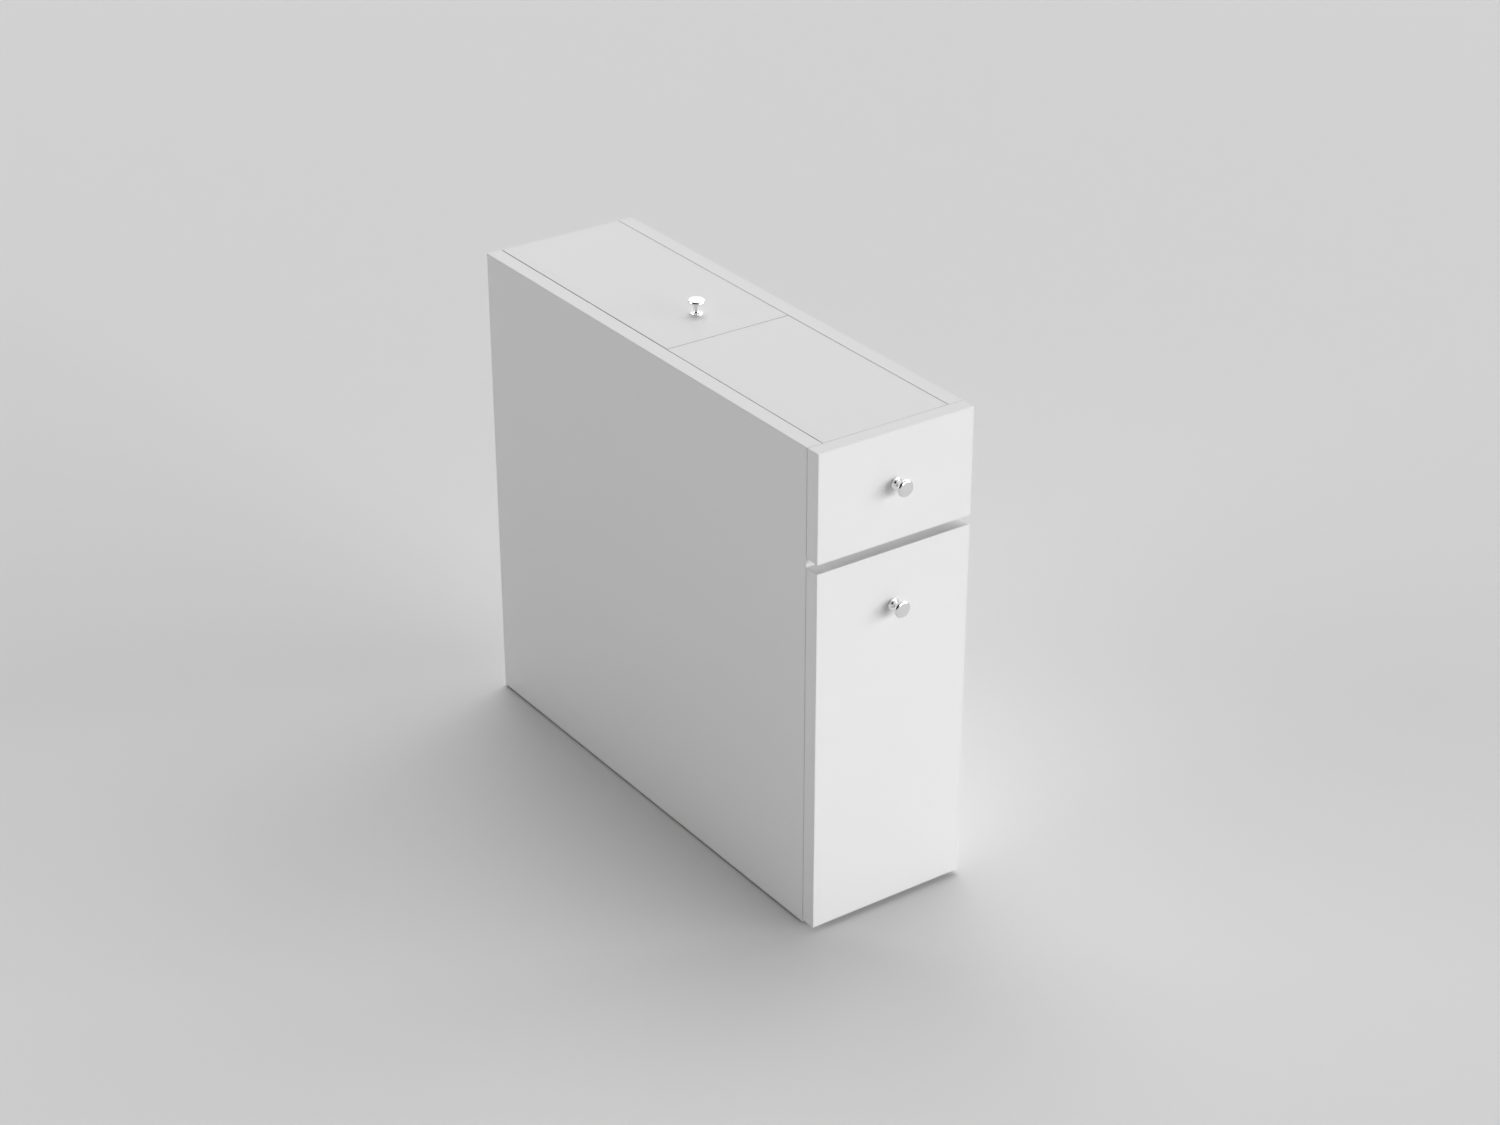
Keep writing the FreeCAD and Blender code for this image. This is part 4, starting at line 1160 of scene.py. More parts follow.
@dataclass(frozen=True)
class CrossRecess:
    """A cross-shaped recess for a driver, with sloping ends."""

    arm: float
    width: float
    depth: float
    taper: float = 0.55
    above: float = 0.2 * MM

    def cut(self, thing: bpy.types.Object, top: float) -> bpy.types.Object:
        """Cut the recess into the top of a fastener and keep the plain result.

        Args:
            thing: The fastener, which the result takes the place of.
            top: How high its head reaches.

        Returns:
            The cut fastener, with no modifier left on it.
        """
        cutter = add_object("recess cutter", self.cutter(top))
        modifier = thing.modifiers.new("recess", "BOOLEAN")
        modifier.operation = "DIFFERENCE"
        modifier.solver = "EXACT"
        modifier.object = cutter
        mesh = baked(thing, thing.name)
        remove_object(thing)
        remove_object(cutter)
        smooth(mesh)
        return add_object(mesh.name, mesh)

    def cutter(self, top: float) -> bpy.types.Mesh:
        """One closed cross, wide above the head and narrow at its floor.

        Args:
            top: How high the fastener's head reaches.

        Returns:
            The cross's mesh.
        """
        half = self.width / 2
        corner = [(half, half), (self.arm, half), (self.arm, -half)]
        outline = []
        for quarter in range(4):
            spin = Matrix.Rotation(-quarter * math.pi / 2, 2)
            outline += [spin @ Vector(point) for point in corner]
        shape = bmesh.new()
        upper = [shape.verts.new((*point, top + self.above)) for point in outline]
        floor = self.taper * self.arm
        lower = []
        for point in outline:
            squeezed = [max(-floor, min(floor, reach)) for reach in point]
            lower.append(shape.verts.new((*squeezed, top - self.depth)))
        for index in range(len(outline)):
            after = (index + 1) % len(outline)
            shape.faces.new((upper[index], upper[after], lower[after], lower[index]))
        shape.faces.new(list(reversed(upper)))
        shape.faces.new(lower)
        return closed_mesh(shape, "recess cutter")


@dataclass(frozen=True)
class FastenerForm:
    """A fastener's shape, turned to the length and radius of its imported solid."""

    title: str
    segments: int = 28
    flutes: int = 0
    flute_depth: float = 0.0

    def profile(self, length: float, radius: float) -> list:
        """The half profile, foot at height 0 and head at the full length."""
        raise NotImplementedError

    def thread(self, length: float) -> Thread | None:
        """The thread, if the form has one."""
        return None

    def recess(self) -> CrossRecess | None:
        """The driver's recess in the head, if it has one."""
        return None

    def template(self, length: float, radius: float) -> bpy.types.Object:
        """An object with the form's mesh, standing on the origin.

        Args:
            length: The solid's length along its axis.
            radius: Half the solid's width across it.

        Returns:
            The object, with its foot at height 0.
        """
        mesh = Lathe(self.segments).turn(
            self.title, self.profile(length, radius),
            flutes=self.flutes, flute_depth=self.flute_depth,
        )
        thing = add_object(self.title, mesh)
        recess = self.recess()
        return recess.cut(thing, length) if recess else thing


@dataclass(frozen=True)
class Screw(FastenerForm):
    """What all screws share: a cross recess, and a thread that ends a pitch below the head."""

    head_height: float = 0.8 * MM
    root: float = 1.15 * MM
    crest: float = 1.7 * MM
    pitch: float = 1.35 * MM
    lead_in: float = 2.25 * MM
    recess_arm: float = 1.3 * MM
    recess_width: float = 0.6 * MM
    recess_depth: float = 0.9 * MM

    def thread(self, length: float) -> Thread:
        """The thread, from its lead-in at the foot."""
        end = length - self.head_height - self.pitch
        return Thread(self.lead_in, end, self.root, self.crest - self.root, self.pitch)

    def recess(self) -> CrossRecess:
        """The driver's cross."""
        return CrossRecess(self.recess_arm, self.recess_width, self.recess_depth)


@dataclass(frozen=True)
class WoodScrew(Screw):
    """A pointed screw for board, flat-headed or countersunk."""

    title: str = "wood screw"
    countersunk: bool = False
    land: float = 0.3 * MM
    tip: float = 3.0 * MM

    def profile(self, length: float, radius: float) -> list:
        """Pointed shank, then the head.

        Args:
            length: The solid's length along its axis.
            radius: Half the solid's width across it.

        Returns:
            Pairs of radius and height, from the foot upwards.
        """
        seat = length - self.head_height
        shank = [(0.0, 0.0), (self.root, self.tip), (self.root, seat)]
        if self.countersunk:
            return shank + [(radius, length - self.land), (radius, length), (0.0, length)]
        soft = (radius - self.land, length)
        return shank + [(radius, seat), (radius, seat + self.land), soft, (0.0, length)]


@dataclass(frozen=True)
class MachineScrew(Screw):
    """The domed machine screw that holds a knob."""

    title: str = "machine screw"
    head_height: float = 2.2 * MM
    rim: float = 0.7 * MM
    root: float = 1.62 * MM
    crest: float = 1.95 * MM
    chamfer: float = 0.5 * MM
    pitch: float = 0.7 * MM
    lead_in: float = 0.7 * MM
    dome_steps: int = 6
    recess_arm: float = 2.2 * MM
    recess_width: float = 0.9 * MM
    recess_depth: float = 1.4 * MM

    def profile(self, length: float, radius: float) -> list:
        """Blunt shank, then a domed head.

        Args:
            length: The solid's length along its axis.
            radius: Half the solid's width across it.

        Returns:
            Pairs of radius and height, from the foot upwards.
        """
        seat = length - self.head_height
        shank = [(0.0, 0.0), (self.root - self.chamfer, 0.0), (self.root, self.chamfer),
                 (self.root, seat), (radius, seat), (radius, seat + self.rim)]
        rise = self.head_height - self.rim
        dome = [
            (radius * math.cos(turn), seat + self.rim + rise * math.sin(turn))
            for turn in (math.pi / 2 * i / self.dome_steps for i in range(1, self.dome_steps))
        ]
        return shank + dome + [(0.0, length)]


@dataclass(frozen=True)
class CamBolt(FastenerForm):
    """The bolt that a cam draws up: coarse thread, collar, shank, neck and round head."""

    title: str = "cam bolt"
    thread_length: float = 10.5 * MM
    root: float = 1.85 * MM
    crest: float = 2.45 * MM
    pitch: float = 1.9 * MM
    collar_radius: float = 3.2 * MM
    collar_length: float = 1.5 * MM
    shank_radius: float = 2.5 * MM
    neck_radius: float = 1.7 * MM
    neck_length: float = 3.0 * MM
    head_radius: float = 2.7 * MM
    head_length: float = 2.6 * MM
    soft: float = 0.4 * MM

    def profile(self, length: float, radius: float) -> list:
        """From the threaded foot to the round head.

        Args:
            length: The solid's length along its axis.
            radius: Half the solid's width, in place of which it has its own.

        Returns:
            Pairs of radius and height, from the foot upwards.
        """
        collar = self.thread_length + self.collar_length
        head = length - self.head_length
        neck = head - self.neck_length
        return [
            (0.0, 0.0),
            (self.root - self.soft, 0.0),
            (self.root, self.soft),
            (self.root, self.thread_length),
            (self.collar_radius - self.soft, self.thread_length),
            (self.collar_radius, self.thread_length + self.soft),
            (self.collar_radius, collar - self.soft),
            (self.collar_radius - self.soft, collar),
            (self.shank_radius, collar),
            (self.shank_radius, neck),
            (self.neck_radius, neck + self.soft),
            (self.neck_radius, head),
            (self.head_radius - self.soft, head),
            (self.head_radius, head + self.soft),
            (self.head_radius, length - 2 * self.soft),
            (self.head_radius - 2 * self.soft, length),
            (0.0, length),
        ]

    def thread(self, length: float) -> Thread:
        """The coarse thread that bites in the board.

        Args:
            length: The bolt's length, which its thread doesn't depend on.

        Returns:
            The thread.
        """
        margin = self.pitch / 2
        end = self.thread_length - margin
        return Thread(margin, end, self.root, self.crest - self.root, self.pitch)


@dataclass(frozen=True)
class FlutedDowel(FastenerForm):
    """A glued dowel with bevelled ends and pressed flutes."""

    title: str = "fluted dowel"
    segments: int = 80
    flutes: int = 20
    flute_depth: float = 0.25 * MM
    bevel: float = 0.5 * MM

    def profile(self, length: float, radius: float) -> list:
        """A rod with both ends bevelled.

        Args:
            length: The solid's length along its axis.
            radius: Half the solid's width across it.

        Returns:
            Pairs of radius and height, from the foot upwards.
        """
        low_end = [(0.0, 0.0), (radius - self.bevel, 0.0), (radius, self.bevel)]
        high_end = [(reach, length - height) for reach, height in reversed(low_end)]
        return low_end + high_end


class FastenerTree(SharedGroup):
    """Geometry nodes that thread a fastener and set a copy on every point."""

    title = "Driven fasteners"
    kind = "GeometryNodeTree"
    takes = (
        *sockets(GEOMETRY, "Geometry"),
        *sockets("NodeSocketObject", "Template"),
        *sockets("NodeSocketBool", "Threaded"),
        *sockets(
            NUMBER, "Thread Turns", "Thread Start", "Thread Length", "Thread Root", "Thread Depth"
        ),
        *sockets("NodeSocketInt", "Twist Seed"),
        *sockets("NodeSocketMaterial", "Finish"),
    )
    gives = sockets(GEOMETRY, "Geometry")

    aim_name: str = "aim"
    coil_steps: int = 14
    ridge_sides: int = 3

    def draw(self, sketch: NodeSketch, given: bpy.types.bpy_prop_collection) -> dict:
        """A turned copy of the threaded template on each point, made real and finished.

        Args:
            sketch: The tree that is laid out.
            given: What the group's inputs bring, by name.

        Returns:
            The source socket of each output, by name.
        """
        copies = sketch.add("GeometryNodeInstanceOnPoints", {
            "Points": given["Geometry"],
            "Instance": self.threaded(sketch, given),
            "Rotation": self.rotation(sketch, given["Twist Seed"]),
        })
        real = sketch.add("GeometryNodeRealizeInstances", {0: copies.outputs[0]})
        finished = sketch.add(
            "GeometryNodeSetMaterial",
            {"Geometry": real.outputs[0], "Material": given["Finish"]},
        )
        return {"Geometry": finished.outputs[0]}

    def threaded(self, sketch: NodeSketch, given: bpy.types.bpy_prop_collection) -> Socket:
        """The template with its thread coiled round it.

        Args:
            sketch: The tree that is laid out.
            given: What the group's inputs bring, by name.

        Returns:
            The geometry of one fastener.
        """
        template = sketch.add(
            "GeometryNodeObjectInfo", {"Object": given["Template"]}, transform_space="ORIGINAL"
        )
        coil = sketch.add("GeometryNodeCurveSpiral", {
            "Resolution": self.coil_steps,
            "Rotations": given["Thread Turns"],
            "Start Radius": given["Thread Root"],
            "End Radius": given["Thread Root"],
            "Height": given["Thread Length"],
        })
        section = sketch.add(
            "GeometryNodeCurvePrimitiveCircle",
            {"Resolution": self.ridge_sides, "Radius": given["Thread Depth"]},
            mode="RADIUS",
        )
        ridge = sketch.add("GeometryNodeCurveToMesh", {
            "Curve": coil.outputs[0], "Profile Curve": section.outputs[0], "Fill Caps": True,
        })
        lift = sketch.add("ShaderNodeCombineXYZ", {"Z": given["Thread Start"]})
        raised = sketch.add(
            "GeometryNodeTransform",
            {"Geometry": ridge.outputs[0], "Translation": lift.outputs[0]},
        )
        chosen = sketch.add(
            "GeometryNodeSwitch",
            {"Switch": given["Threaded"], "True": raised.outputs[0]},
            input_type="GEOMETRY",
        )
        whole = sketch.add("GeometryNodeJoinGeometry")
        for part in (template.outputs["Geometry"], chosen.outputs[0]):
            sketch.feed(whole.inputs[0], part)
        return whole.outputs[0]

    def rotation(self, sketch: NodeSketch, seed: Socket) -> Socket:
        """Each copy's turn: head along the point's aim, with a twist of its own.

        Args:
            sketch: The tree that is laid out.
            seed: The seed of the twists.

        Returns:
            The rotation at each point.
        """
        aim = sketch.add(
            "GeometryNodeInputNamedAttribute", {"Name": self.aim_name}, data_type="FLOAT_VECTOR"
        )
        straight = sketch.add(
            "FunctionNodeAlignRotationToVector", {"Vector": aim.outputs[0]}, axis="Z"
        )
        chance = sketch.add("FunctionNodeRandomValue", {"Seed": seed}, data_type="FLOAT")
        most = next(s for s in chance.inputs if s.type == "VALUE" and s.name == "Max")
        most.default_value = 2 * math.pi
        angle = next(s for s in chance.outputs if s.type == "VALUE")
        twist = sketch.add(
            "FunctionNodeAxisAngleToRotation", {"Axis": Axis.Z.vector(), "Angle": angle}
        )
        turned = sketch.add(
            "FunctionNodeRotateRotation",
            {"Rotation": straight.outputs[0], "Rotate By": twist.outputs[0]},
            rotation_space="LOCAL",
        )
        return turned.outputs[0]

    def points(self, solids: list[TurnedSolid]) -> bpy.types.Object:
        """An object with one vertex at each fastener's foot, and its aim.

        Args:
            solids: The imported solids.

        Returns:
            The object, with no faces.
        """
        mesh = bpy.data.meshes.new("fastener places")
        mesh.from_pydata([solid.foot for solid in solids], [], [])
        aims = mesh.attributes.new(self.aim_name, "FLOAT_VECTOR", "POINT")
        for index, solid in enumerate(solids):
            aims.data[index].vector = solid.aim
        return add_object("fastener places", mesh)

    def drive(
        self, name: str, form: FastenerForm, solids: list[TurnedSolid],
        material: bpy.types.Material, seed: int,
    ) -> bpy.types.Mesh:
        """Set a fastener in the place of every solid.

        Args:
            name: The new mesh's name.
            form: The fastener's shape.
            solids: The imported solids, all of one size.
            material: The finish.
            seed: The seed of the twists.

        Returns:
            A plain mesh of all the fasteners.
        """
        length, radius = solids[0].length, solids[0].radius
        template = form.template(length, radius)
        thread = form.thread(length)
        host = self.points(solids)
        modifier = host.modifiers.new("fasteners", "NODES")
        modifier.node_group = self.group()
        values: dict[str, object] = {
            "Template": template, "Threaded": thread is not None,
            "Twist Seed": seed, "Finish": material,
        }
        if thread is not None:
            run = thread.end - thread.start
            values |= {
                "Thread Turns": run / thread.pitch, "Thread Start": thread.start,
                "Thread Length": run, "Thread Root": thread.root, "Thread Depth": thread.depth,
            }
        for item in modifier.node_group.interface.items_tree:
            if item.in_out == "INPUT" and item.name in values:
                modifier[item.identifier] = values[item.name]
        host.update_tag()
        mesh = baked(host, name)
        remove_object(host)
        remove_object(template)
        smooth(mesh)
        return mesh


@dataclass
class TurnedPiece:
    """A round piece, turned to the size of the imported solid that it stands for.

    The axis and sign say where its outer end points, and its radius is read along across.
    """

    node: str
    body: str
    axis: Axis
    sign: float = 1.0
    across: Axis = Axis.X
    slot: str = ""
    segments: int = 72
    closed: bool = False

    def profile(self, radius: float, length: float) -> list:
        """The half profile.

        Args:
            radius: The solid's radius.
            length: Its length along its axis.

        Returns:
            Pairs of radius and height, from the foot outwards.
        """
        raise NotImplementedError

    def build(self, finish: bpy.types.Material) -> None:
        """Turn the piece and set it in its solid's place.

        Args:
            finish: Its material.
        """
        low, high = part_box(self.node)
        extent = high - low
        along = self.axis.value
        profile = self.profile(extent[self.across.value] / 2, extent[along])
        mesh = Lathe(self.segments).turn(f"{self.node} turned", profile, self.closed)
        foot = (low + high) / 2
        foot[along] = (low if self.sign > 0 else high)[along]
        aim = self.axis.vector(self.sign)
        turn = Axis.Z.vector().rotation_difference(aim).to_matrix().to_4x4()
        mesh.transform(Matrix.Translation(foot) @ turn)
        mesh.update()
        mesh.materials.append(finish)
        add_piece(f"turned_{self.node}", mesh, self.body, [self.node])


@dataclass
class Knob(TurnedPiece):
    """A turned chrome knob: foot, waisted neck and flat-faced round head."""

    slot: str = "polished_chrome"
    segments: int = 128
    base_radius: float = 6.7 * MM
    base_rim: float = 1.0 * MM
    neck_radius: float = 3.2 * MM
    flare: float = 2.8 * MM
    head_rim: float = 0.8 * MM
    head_round: float = 2.8 * MM
    undercut: float = 0.9 * MM
    soft: float = 0.15 * MM
    arc_steps: int = 14
    lip_start: float = -70.0
    lip_steps: int = 3

    def profile(self, radius: float, length: float) -> list:
        """From the board, round the neck, to the middle of the head's face.

        Args:
            radius: The head's radius.
            length: How far the knob stands off its board.

        Returns:
            Pairs of radius and height, from the board outwards.
        """
        steps = self.arc_steps
        cove = self.base_radius - self.neck_radius
        cove_start = -90.0 - math.degrees(self.soft / cove)
        flare_top = length - self.head_round - self.head_rim - self.undercut
        cove_centre = (self.base_radius, self.base_rim + cove)
        flare_centre = (self.neck_radius + self.flare, flare_top - self.flare)
        round_centre = (radius - self.head_round, length - self.head_round)
        lip_centre = (radius - self.soft, flare_top + self.undercut)
        return [
            (0.0, 0.0),
            (self.base_radius, 0.0),
            (self.base_radius, self.base_rim - self.soft),
            *arc(cove_centre, cove, cove_start, -180.0, steps),
            *arc(flare_centre, self.flare, 180.0, 90.0, steps),
            *arc(lip_centre, self.soft, self.lip_start, 0.0, self.lip_steps),
            *arc(round_centre, self.head_round, 0.0, 90.0, steps),
            (0.0, length),
        ]


@dataclass
class Roller(TurnedPiece):
    """A moulded roller with a hub, sunk faces and a rounded tread."""

    across: Axis = Axis.Z
    slot: str = "roller_nylon"
    closed: bool = True
    bore: float = 2.05 * MM
    hub: float = 3.4 * MM
    rim: float = 1.5 * MM
    sink: float = 0.7 * MM
    draft: float = 0.25 * MM
    edge: float = 0.6 * MM
    arc_steps: int = 5

    def profile(self, radius: float, length: float) -> list:
        """The closed section of the roller, round its bore.

        Args:
            radius: The tread's radius.
            length: The roller's width.

        Returns:
            Pairs of radius and height, once round the section.
        """
        inner = radius - self.rim
        tread = radius - self.edge
        near = [(self.bore, 0.0), (self.hub, 0.0), (self.hub + self.draft, self.sink),
                (inner - self.draft, self.sink), (inner, 0.0)]
        far = [(reach, length - height) for reach, height in reversed(near)]
        low_edge = arc((tread, self.edge), self.edge, -90.0, 0.0, self.arc_steps)
        high_edge = arc((tread, length - self.edge), self.edge, 0.0, 90.0, self.arc_steps)
        return [*near, *low_edge, *high_edge, *far]


@dataclass
class Carcass:
    """The standing case: sides, top, shelf, bottom, back, divider and lid rest."""

    top: str = "top_panel"
    boards: dict[str, Axis] = field(default_factory=lambda: {
        "side_panel_left": Axis.X,
        "side_panel_right": Axis.X,
        "top_panel": Axis.Z,
        "drawer_shelf": Axis.Z,
        "bottom_panel": Axis.Z,
        "back_panel": Axis.Y,
        "divider_panel": Axis.Y,
        "lid_rest_batten": Axis.Z,
    })

    def dress(self, nodes: dict, finishes: Finishes, shelf: MaterialShelf) -> None:
        """Give the case's boards and small parts their finishes.

        Args:
            nodes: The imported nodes' objects, by name.
            finishes: All the finishes.
            shelf: The materials that pieces share.
        """
        for name, across in self.boards.items():
            bare = Axis.Z.vector(-1.0) if across is Axis.X else None
            ends = None if across is Axis.X else Axis.X
            # Painted shade: the top panel's cut ends are painted dark grey for the shadow in the
            # gaps beside the side panels.
            painted_shade_mark = "End" if name == self.top else None
            dress(nodes[name], finishes.board.material(name, across, bare, ends, painted_shade_mark))
        dress(nodes["floor_glides"], shelf.of(finishes.glide))
        dress(nodes["lid_bumpers"], shelf.of(finishes.buffer))
        dress(nodes["carcass_cam_locks"], shelf.of(finishes.zinc_casting))
        dress(nodes["lid_pivot_pins"], shelf.of(finishes.zinc_plate))
        log.info("dressed the case, %d boards", len(self.boards))


@dataclass
class Lid:
    """The lift-up rear half of the top."""

    body: str = "lid"
    panel: str = "lid_panel"

    def dress(self, nodes: dict, finishes: Finishes, shelf: MaterialShelf) -> None:
        """Finish the lid's board, bushes and knob.

        Args:
            nodes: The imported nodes' objects, by name.
            finishes: All the finishes.
            shelf: The materials that pieces share.
        """
        # Painted shade: the lid's edges are painted dark grey for the shadow in the gaps round it.
        dress(nodes[self.panel], finishes.board.material(self.panel, Axis.Z, painted_shade_mark="Seam"))
        dress(nodes["lid_bushes"], shelf.of(finishes.nylon))
        Knob("lid_knob", self.body, Axis.Z).build(shelf.of(finishes.chrome))
        log.info("dressed the lid")


@dataclass
class PulledBox:
    """A box on runners behind a front: the drawer or the tall pull-out."""

    name: str

    def dress(self, nodes: dict, finishes: Finishes, shelf: MaterialShelf) -> None:
        """Finish the front, the box, its runners, rollers and knob.

        Args:
            nodes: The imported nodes' objects, by name.
            finishes: All the finishes.
            shelf: The materials that pieces share.
        """
        front = f"{self.name}_front"
        dress(nodes[front], finishes.board.material(front, Axis.Y))
        box_boards = {"side_left": Axis.X, "side_right": Axis.X, "back": Axis.Y}
        for part, across in box_boards.items():
            board = f"{self.name}_{part}"
            dress(nodes[board], finishes.wrapped.material(board, across))
        dress(nodes[f"{self.name}_bottom"], shelf.of(finishes.hardboard))
        dress(nodes[f"{self.name}_cam_locks"], shelf.of(finishes.zinc_casting))
        for side in ("left", "right"):
            for runner in (f"{self.name}_runner_{side}", f"cabinet_runner_{self.name}_{side}"):
                dress(nodes[runner], shelf.of(finishes.enamel))
            for end in ("front", "rear"):
                roller = f"{end}_roller_{self.name}_{side}"
                Roller(roller, roller, Axis.X).build(shelf.of(finishes.nylon))
        Knob(f"{self.name}_knob", self.name, Axis.Y, -1.0).build(shelf.of(finishes.chrome))
        log.info("dressed the %s", self.name)


@dataclass
class Fasteners:
    """Every repeated screw, bolt and dowel of the cabinet."""

    seed: int = 11
    steel: str = "zinc_plated_steel"
    wood: str = "beech"
    short: WoodScrew = WoodScrew(title="short screw")
    long: WoodScrew = WoodScrew(
        title="long screw", countersunk=True, head_height=2.2 * MM, recess_arm=2.0 * MM,
    )
    knob: MachineScrew = MachineScrew()
    bolt: CamBolt = CamBolt()
    dowel: FlutedDowel = FlutedDowel()

    def jobs(self) -> list[tuple[str, str, FastenerForm, str]]:
        """List the groups of fasteners, in the order that they are driven.

        Returns:
            Node, body, form and material slot of each group.
        """
        steel, wood = self.steel, self.wood
        jobs = [
            ("carcass_cam_bolts", "cabinet", self.bolt, steel),
            ("carcass_dowels", "cabinet", self.dowel, wood),
            ("cabinet_runner_screws", "cabinet", self.short, steel),
            ("batten_screws", "cabinet", self.long, steel),
            ("lid_knob_screw", "lid", self.knob, steel),
        ]
        for box in ("drawer", "pullout"):
            jobs += [
                (f"{box}_cam_bolts", box, self.bolt, steel),
                (f"{box}_dowels", box, self.dowel, wood),
                (f"{box}_corner_screws", box, self.long, steel),
                (f"{box}_short_screws", box, self.short, steel),
                (f"{box}_knob_screw", box, self.knob, steel),
            ]
        return jobs

    def drive(self, nodes: dict, finishes: Finishes, shelf: MaterialShelf) -> None:
        """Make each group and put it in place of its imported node.

        Args:
            nodes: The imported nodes' objects, by name.
            finishes: All the finishes.
            shelf: The materials that pieces share.
        """
        reader, tree = NodeReader(), FastenerTree()
        slots = {self.steel: finishes.zinc_plate, self.wood: finishes.beech}
        for index, (node, body, form, slot) in enumerate(self.jobs()):
            solids = reader.solids(nodes[node])
            material = shelf.of(slots[slot])
            name = f"driven_{node}"
            mesh = tree.drive(name, form, solids, material, self.seed + index)
            add_piece(name, mesh, body, [node])


def bearing(azimuth: float, elevation: float) -> Vector:
    """The direction from the cabinet towards an azimuth and elevation in degrees.

    Args:
        azimuth: 0 in front of the cabinet and 90 at its right.
        elevation: 0 level with it and 90 above it.

    Returns:
        The direction, one unit long.
    """
    turn, tilt = math.radians(azimuth), math.radians(elevation)
    level = math.cos(tilt)
    return Vector((math.sin(turn) * level, -math.cos(turn) * level, math.sin(tilt)))


def add_aimed(name: str, data: bpy.types.ID, view: Vector) -> bpy.types.Object:
    """Put a light or a camera at the origin, looking along a direction.

    Args:
        name: The object's name.
        data: The light or the camera.
        view: The direction.

    Returns:
        The new object.
    """
    thing = add_object(name, data)
    thing.rotation_mode = "QUATERNION"
    thing.rotation_quaternion = view.to_track_quat("-Z", "Y")
    return thing


@dataclass(frozen=True)
class SoftLight:
    """A wide light so far off that it reaches the whole floor alike.

    The spread is how many degrees of the room it fills. The wider, the softer its shadows.
    """

    name: str
    azimuth: float
    elevation: float
    spread: float
    strength: float

    def hang(self) -> None:
        """Add the light to the scene."""
        data = bpy.data.lights.new(self.name, "SUN")
        data.angle = math.radians(self.spread)
        data.energy = self.strength
        add_aimed(self.name, data, -bearing(self.azimuth, self.elevation))


@dataclass(frozen=True)
class Wall:
    """A stretch of the room around a bearing, full inside its core and gone at its edge.

    The core and the edge are angles from the bearing, in degrees.
    """

    azimuth: float
    elevation: float
    core: float
    edge: float
    level: float


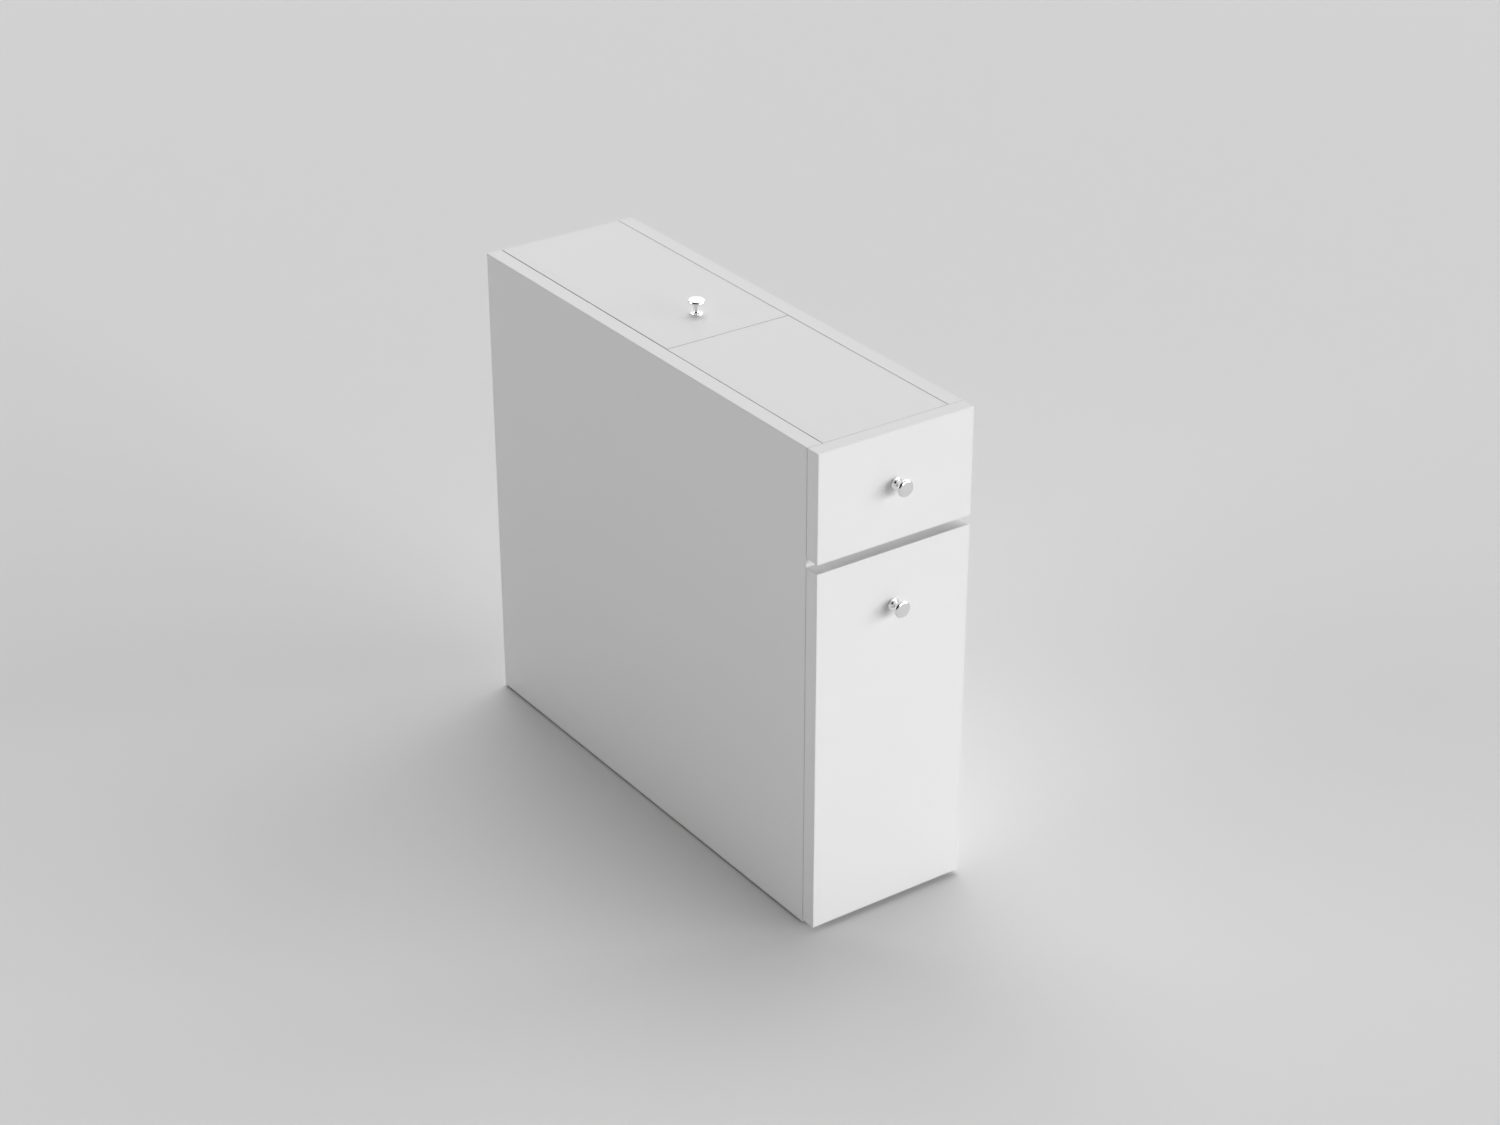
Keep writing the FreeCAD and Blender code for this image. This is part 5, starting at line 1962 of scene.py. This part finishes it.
@dataclass
class Studio:
    """The pale floor, the soft lights, the room around and the camera."""

    floor_size: float = 40.0
    floor_white: float = 0.775
    floor_roughness: float = 0.75
    room_level: float = 0.06
    backdrop_level: float = 0.64
    camera_place: Point = (-1.62916, -2.37826, 1.80438)
    camera_reach: Span = (0.05, 200.0)
    azimuth: float = -35.0
    elevation: float = 27.963
    focal_pixels: float = 3014.0
    picture_width: float = 1500.0
    sensor: float = 36.0
    bright_wall: Wall = Wall(azimuth=140.0, elevation=34.0, core=30.0, edge=62.0, level=1.2)
    dark_wall: Wall = Wall(azimuth=-62.0, elevation=8.0, core=38.0, edge=70.0, level=0.03)
    lights: tuple[SoftLight, ...] = (
        SoftLight("front key left", azimuth=14.0, elevation=12.0, spread=24.0, strength=0.86),
        SoftLight("front key", azimuth=34.0, elevation=12.0, spread=24.0, strength=0.86),
        SoftLight("front key right", azimuth=54.0, elevation=12.0, spread=24.0, strength=0.9),
        SoftLight("rear light", azimuth=152.0, elevation=62.0, spread=42.0, strength=1.19),
        SoftLight("side fill", azimuth=98.0, elevation=38.0, spread=38.0, strength=0.62),
        SoftLight("left fill", azimuth=-112.0, elevation=16.0, spread=42.0, strength=0.82),
    )

    def set_up(self) -> None:
        """Build the whole studio."""
        self.lay_floor()
        self.light_room()
        for light in self.lights:
            light.hang()
        self.place_camera()
        bpy.context.scene.view_settings.view_transform = "Standard"
        log.info("studio ready, %d lights", len(self.lights))

    def lay_floor(self) -> None:
        """One wide pale plane under the cabinet."""
        half = self.floor_size / 2
        corners = [(-half, -half, 0.0), (half, -half, 0.0), (half, half, 0.0), (-half, half, 0.0)]
        mesh = bpy.data.meshes.new("studio floor")
        mesh.from_pydata(corners, [], [(0, 1, 2, 3)])
        material, _, shader = Finish().start("Studio floor")
        shader.inputs["Base Color"].default_value = colour_value(grey(self.floor_white))
        shader.inputs["Roughness"].default_value = self.floor_roughness
        mesh.materials.append(material)
        add_object("studio_floor", mesh)

    def light_room(self) -> None:
        """An even room, with a plain backdrop for the camera and walls for reflections."""
        world = bpy.data.worlds.new("studio room")
        bpy.context.scene.world = world
        world.use_nodes = True
        sketch = NodeSketch(world.node_tree)
        room, backdrop, walls = (
            sketch.add("ShaderNodeBackground", {"Color": colour}).outputs[0]
            for colour in (
                colour_value(grey(self.room_level)),
                colour_value(grey(self.backdrop_level)),
                self.wall_colour(sketch),
            )
        )
        rays = sketch.add("ShaderNodeLightPath").outputs
        mirrored = sketch.maths("MAXIMUM", rays["Is Glossy Ray"], rays["Is Transmission Ray"])
        unseen = sketch.add("ShaderNodeMixShader", {0: mirrored, 1: room, 2: walls})
        mix = sketch.add(
            "ShaderNodeMixShader", {0: rays["Is Camera Ray"], 1: unseen.outputs[0], 2: backdrop}
        )
        sketch.add("ShaderNodeOutputWorld", {"Surface": mix.outputs[0]})

    def wall_colour(self, sketch: NodeSketch) -> Socket:
        """The room's walls as polished metal shows them: one side bright, one dark.

        Args:
            sketch: The world's tree.

        Returns:
            The colour in each direction.
        """
        outward = sketch.add("ShaderNodeTexCoord").outputs["Generated"]
        colour = colour_value(grey(self.backdrop_level))
        for wall in (self.dark_wall, self.bright_wall):
            near = sketch.dot(outward, bearing(wall.azimuth, wall.elevation))
            span = (math.cos(math.radians(wall.edge)), math.cos(math.radians(wall.core)))
            share = sketch.rise(near, span)
            colour = sketch.blend(share, colour, colour_value(grey(wall.level)))
        return colour

    def place_camera(self) -> None:
        """The photograph's camera, fitted to the cabinet's corners."""
        data = bpy.data.cameras.new("picture camera")
        data.sensor_width = self.sensor
        data.lens = self.focal_pixels * self.sensor / self.picture_width
        data.clip_start, data.clip_end = self.camera_reach
        camera = add_aimed("picture camera", data, -bearing(self.azimuth, self.elevation))
        camera.location = self.camera_place
        bpy.context.scene.camera = camera


def clear_stage() -> None:
    """Take away whatever a new file starts with."""
    for thing in list(bpy.data.objects):
        bpy.data.objects.remove(thing)


def main() -> None:
    """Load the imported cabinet, dress every part and set up the studio."""
    logging.basicConfig(level=logging.INFO, format="%(name)s: %(message)s")
    clear_stage()
    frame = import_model()
    finishes, shelf = Finishes(), MaterialShelf()
    nodes = frame["nodes"]
    Carcass().dress(nodes, finishes, shelf)
    Lid().dress(nodes, finishes, shelf)
    for name in ("drawer", "pullout"):
        PulledBox(name).dress(nodes, finishes, shelf)
    Fasteners().drive(nodes, finishes, shelf)
    Studio().set_up()


if __name__ == "__main__":
    main()
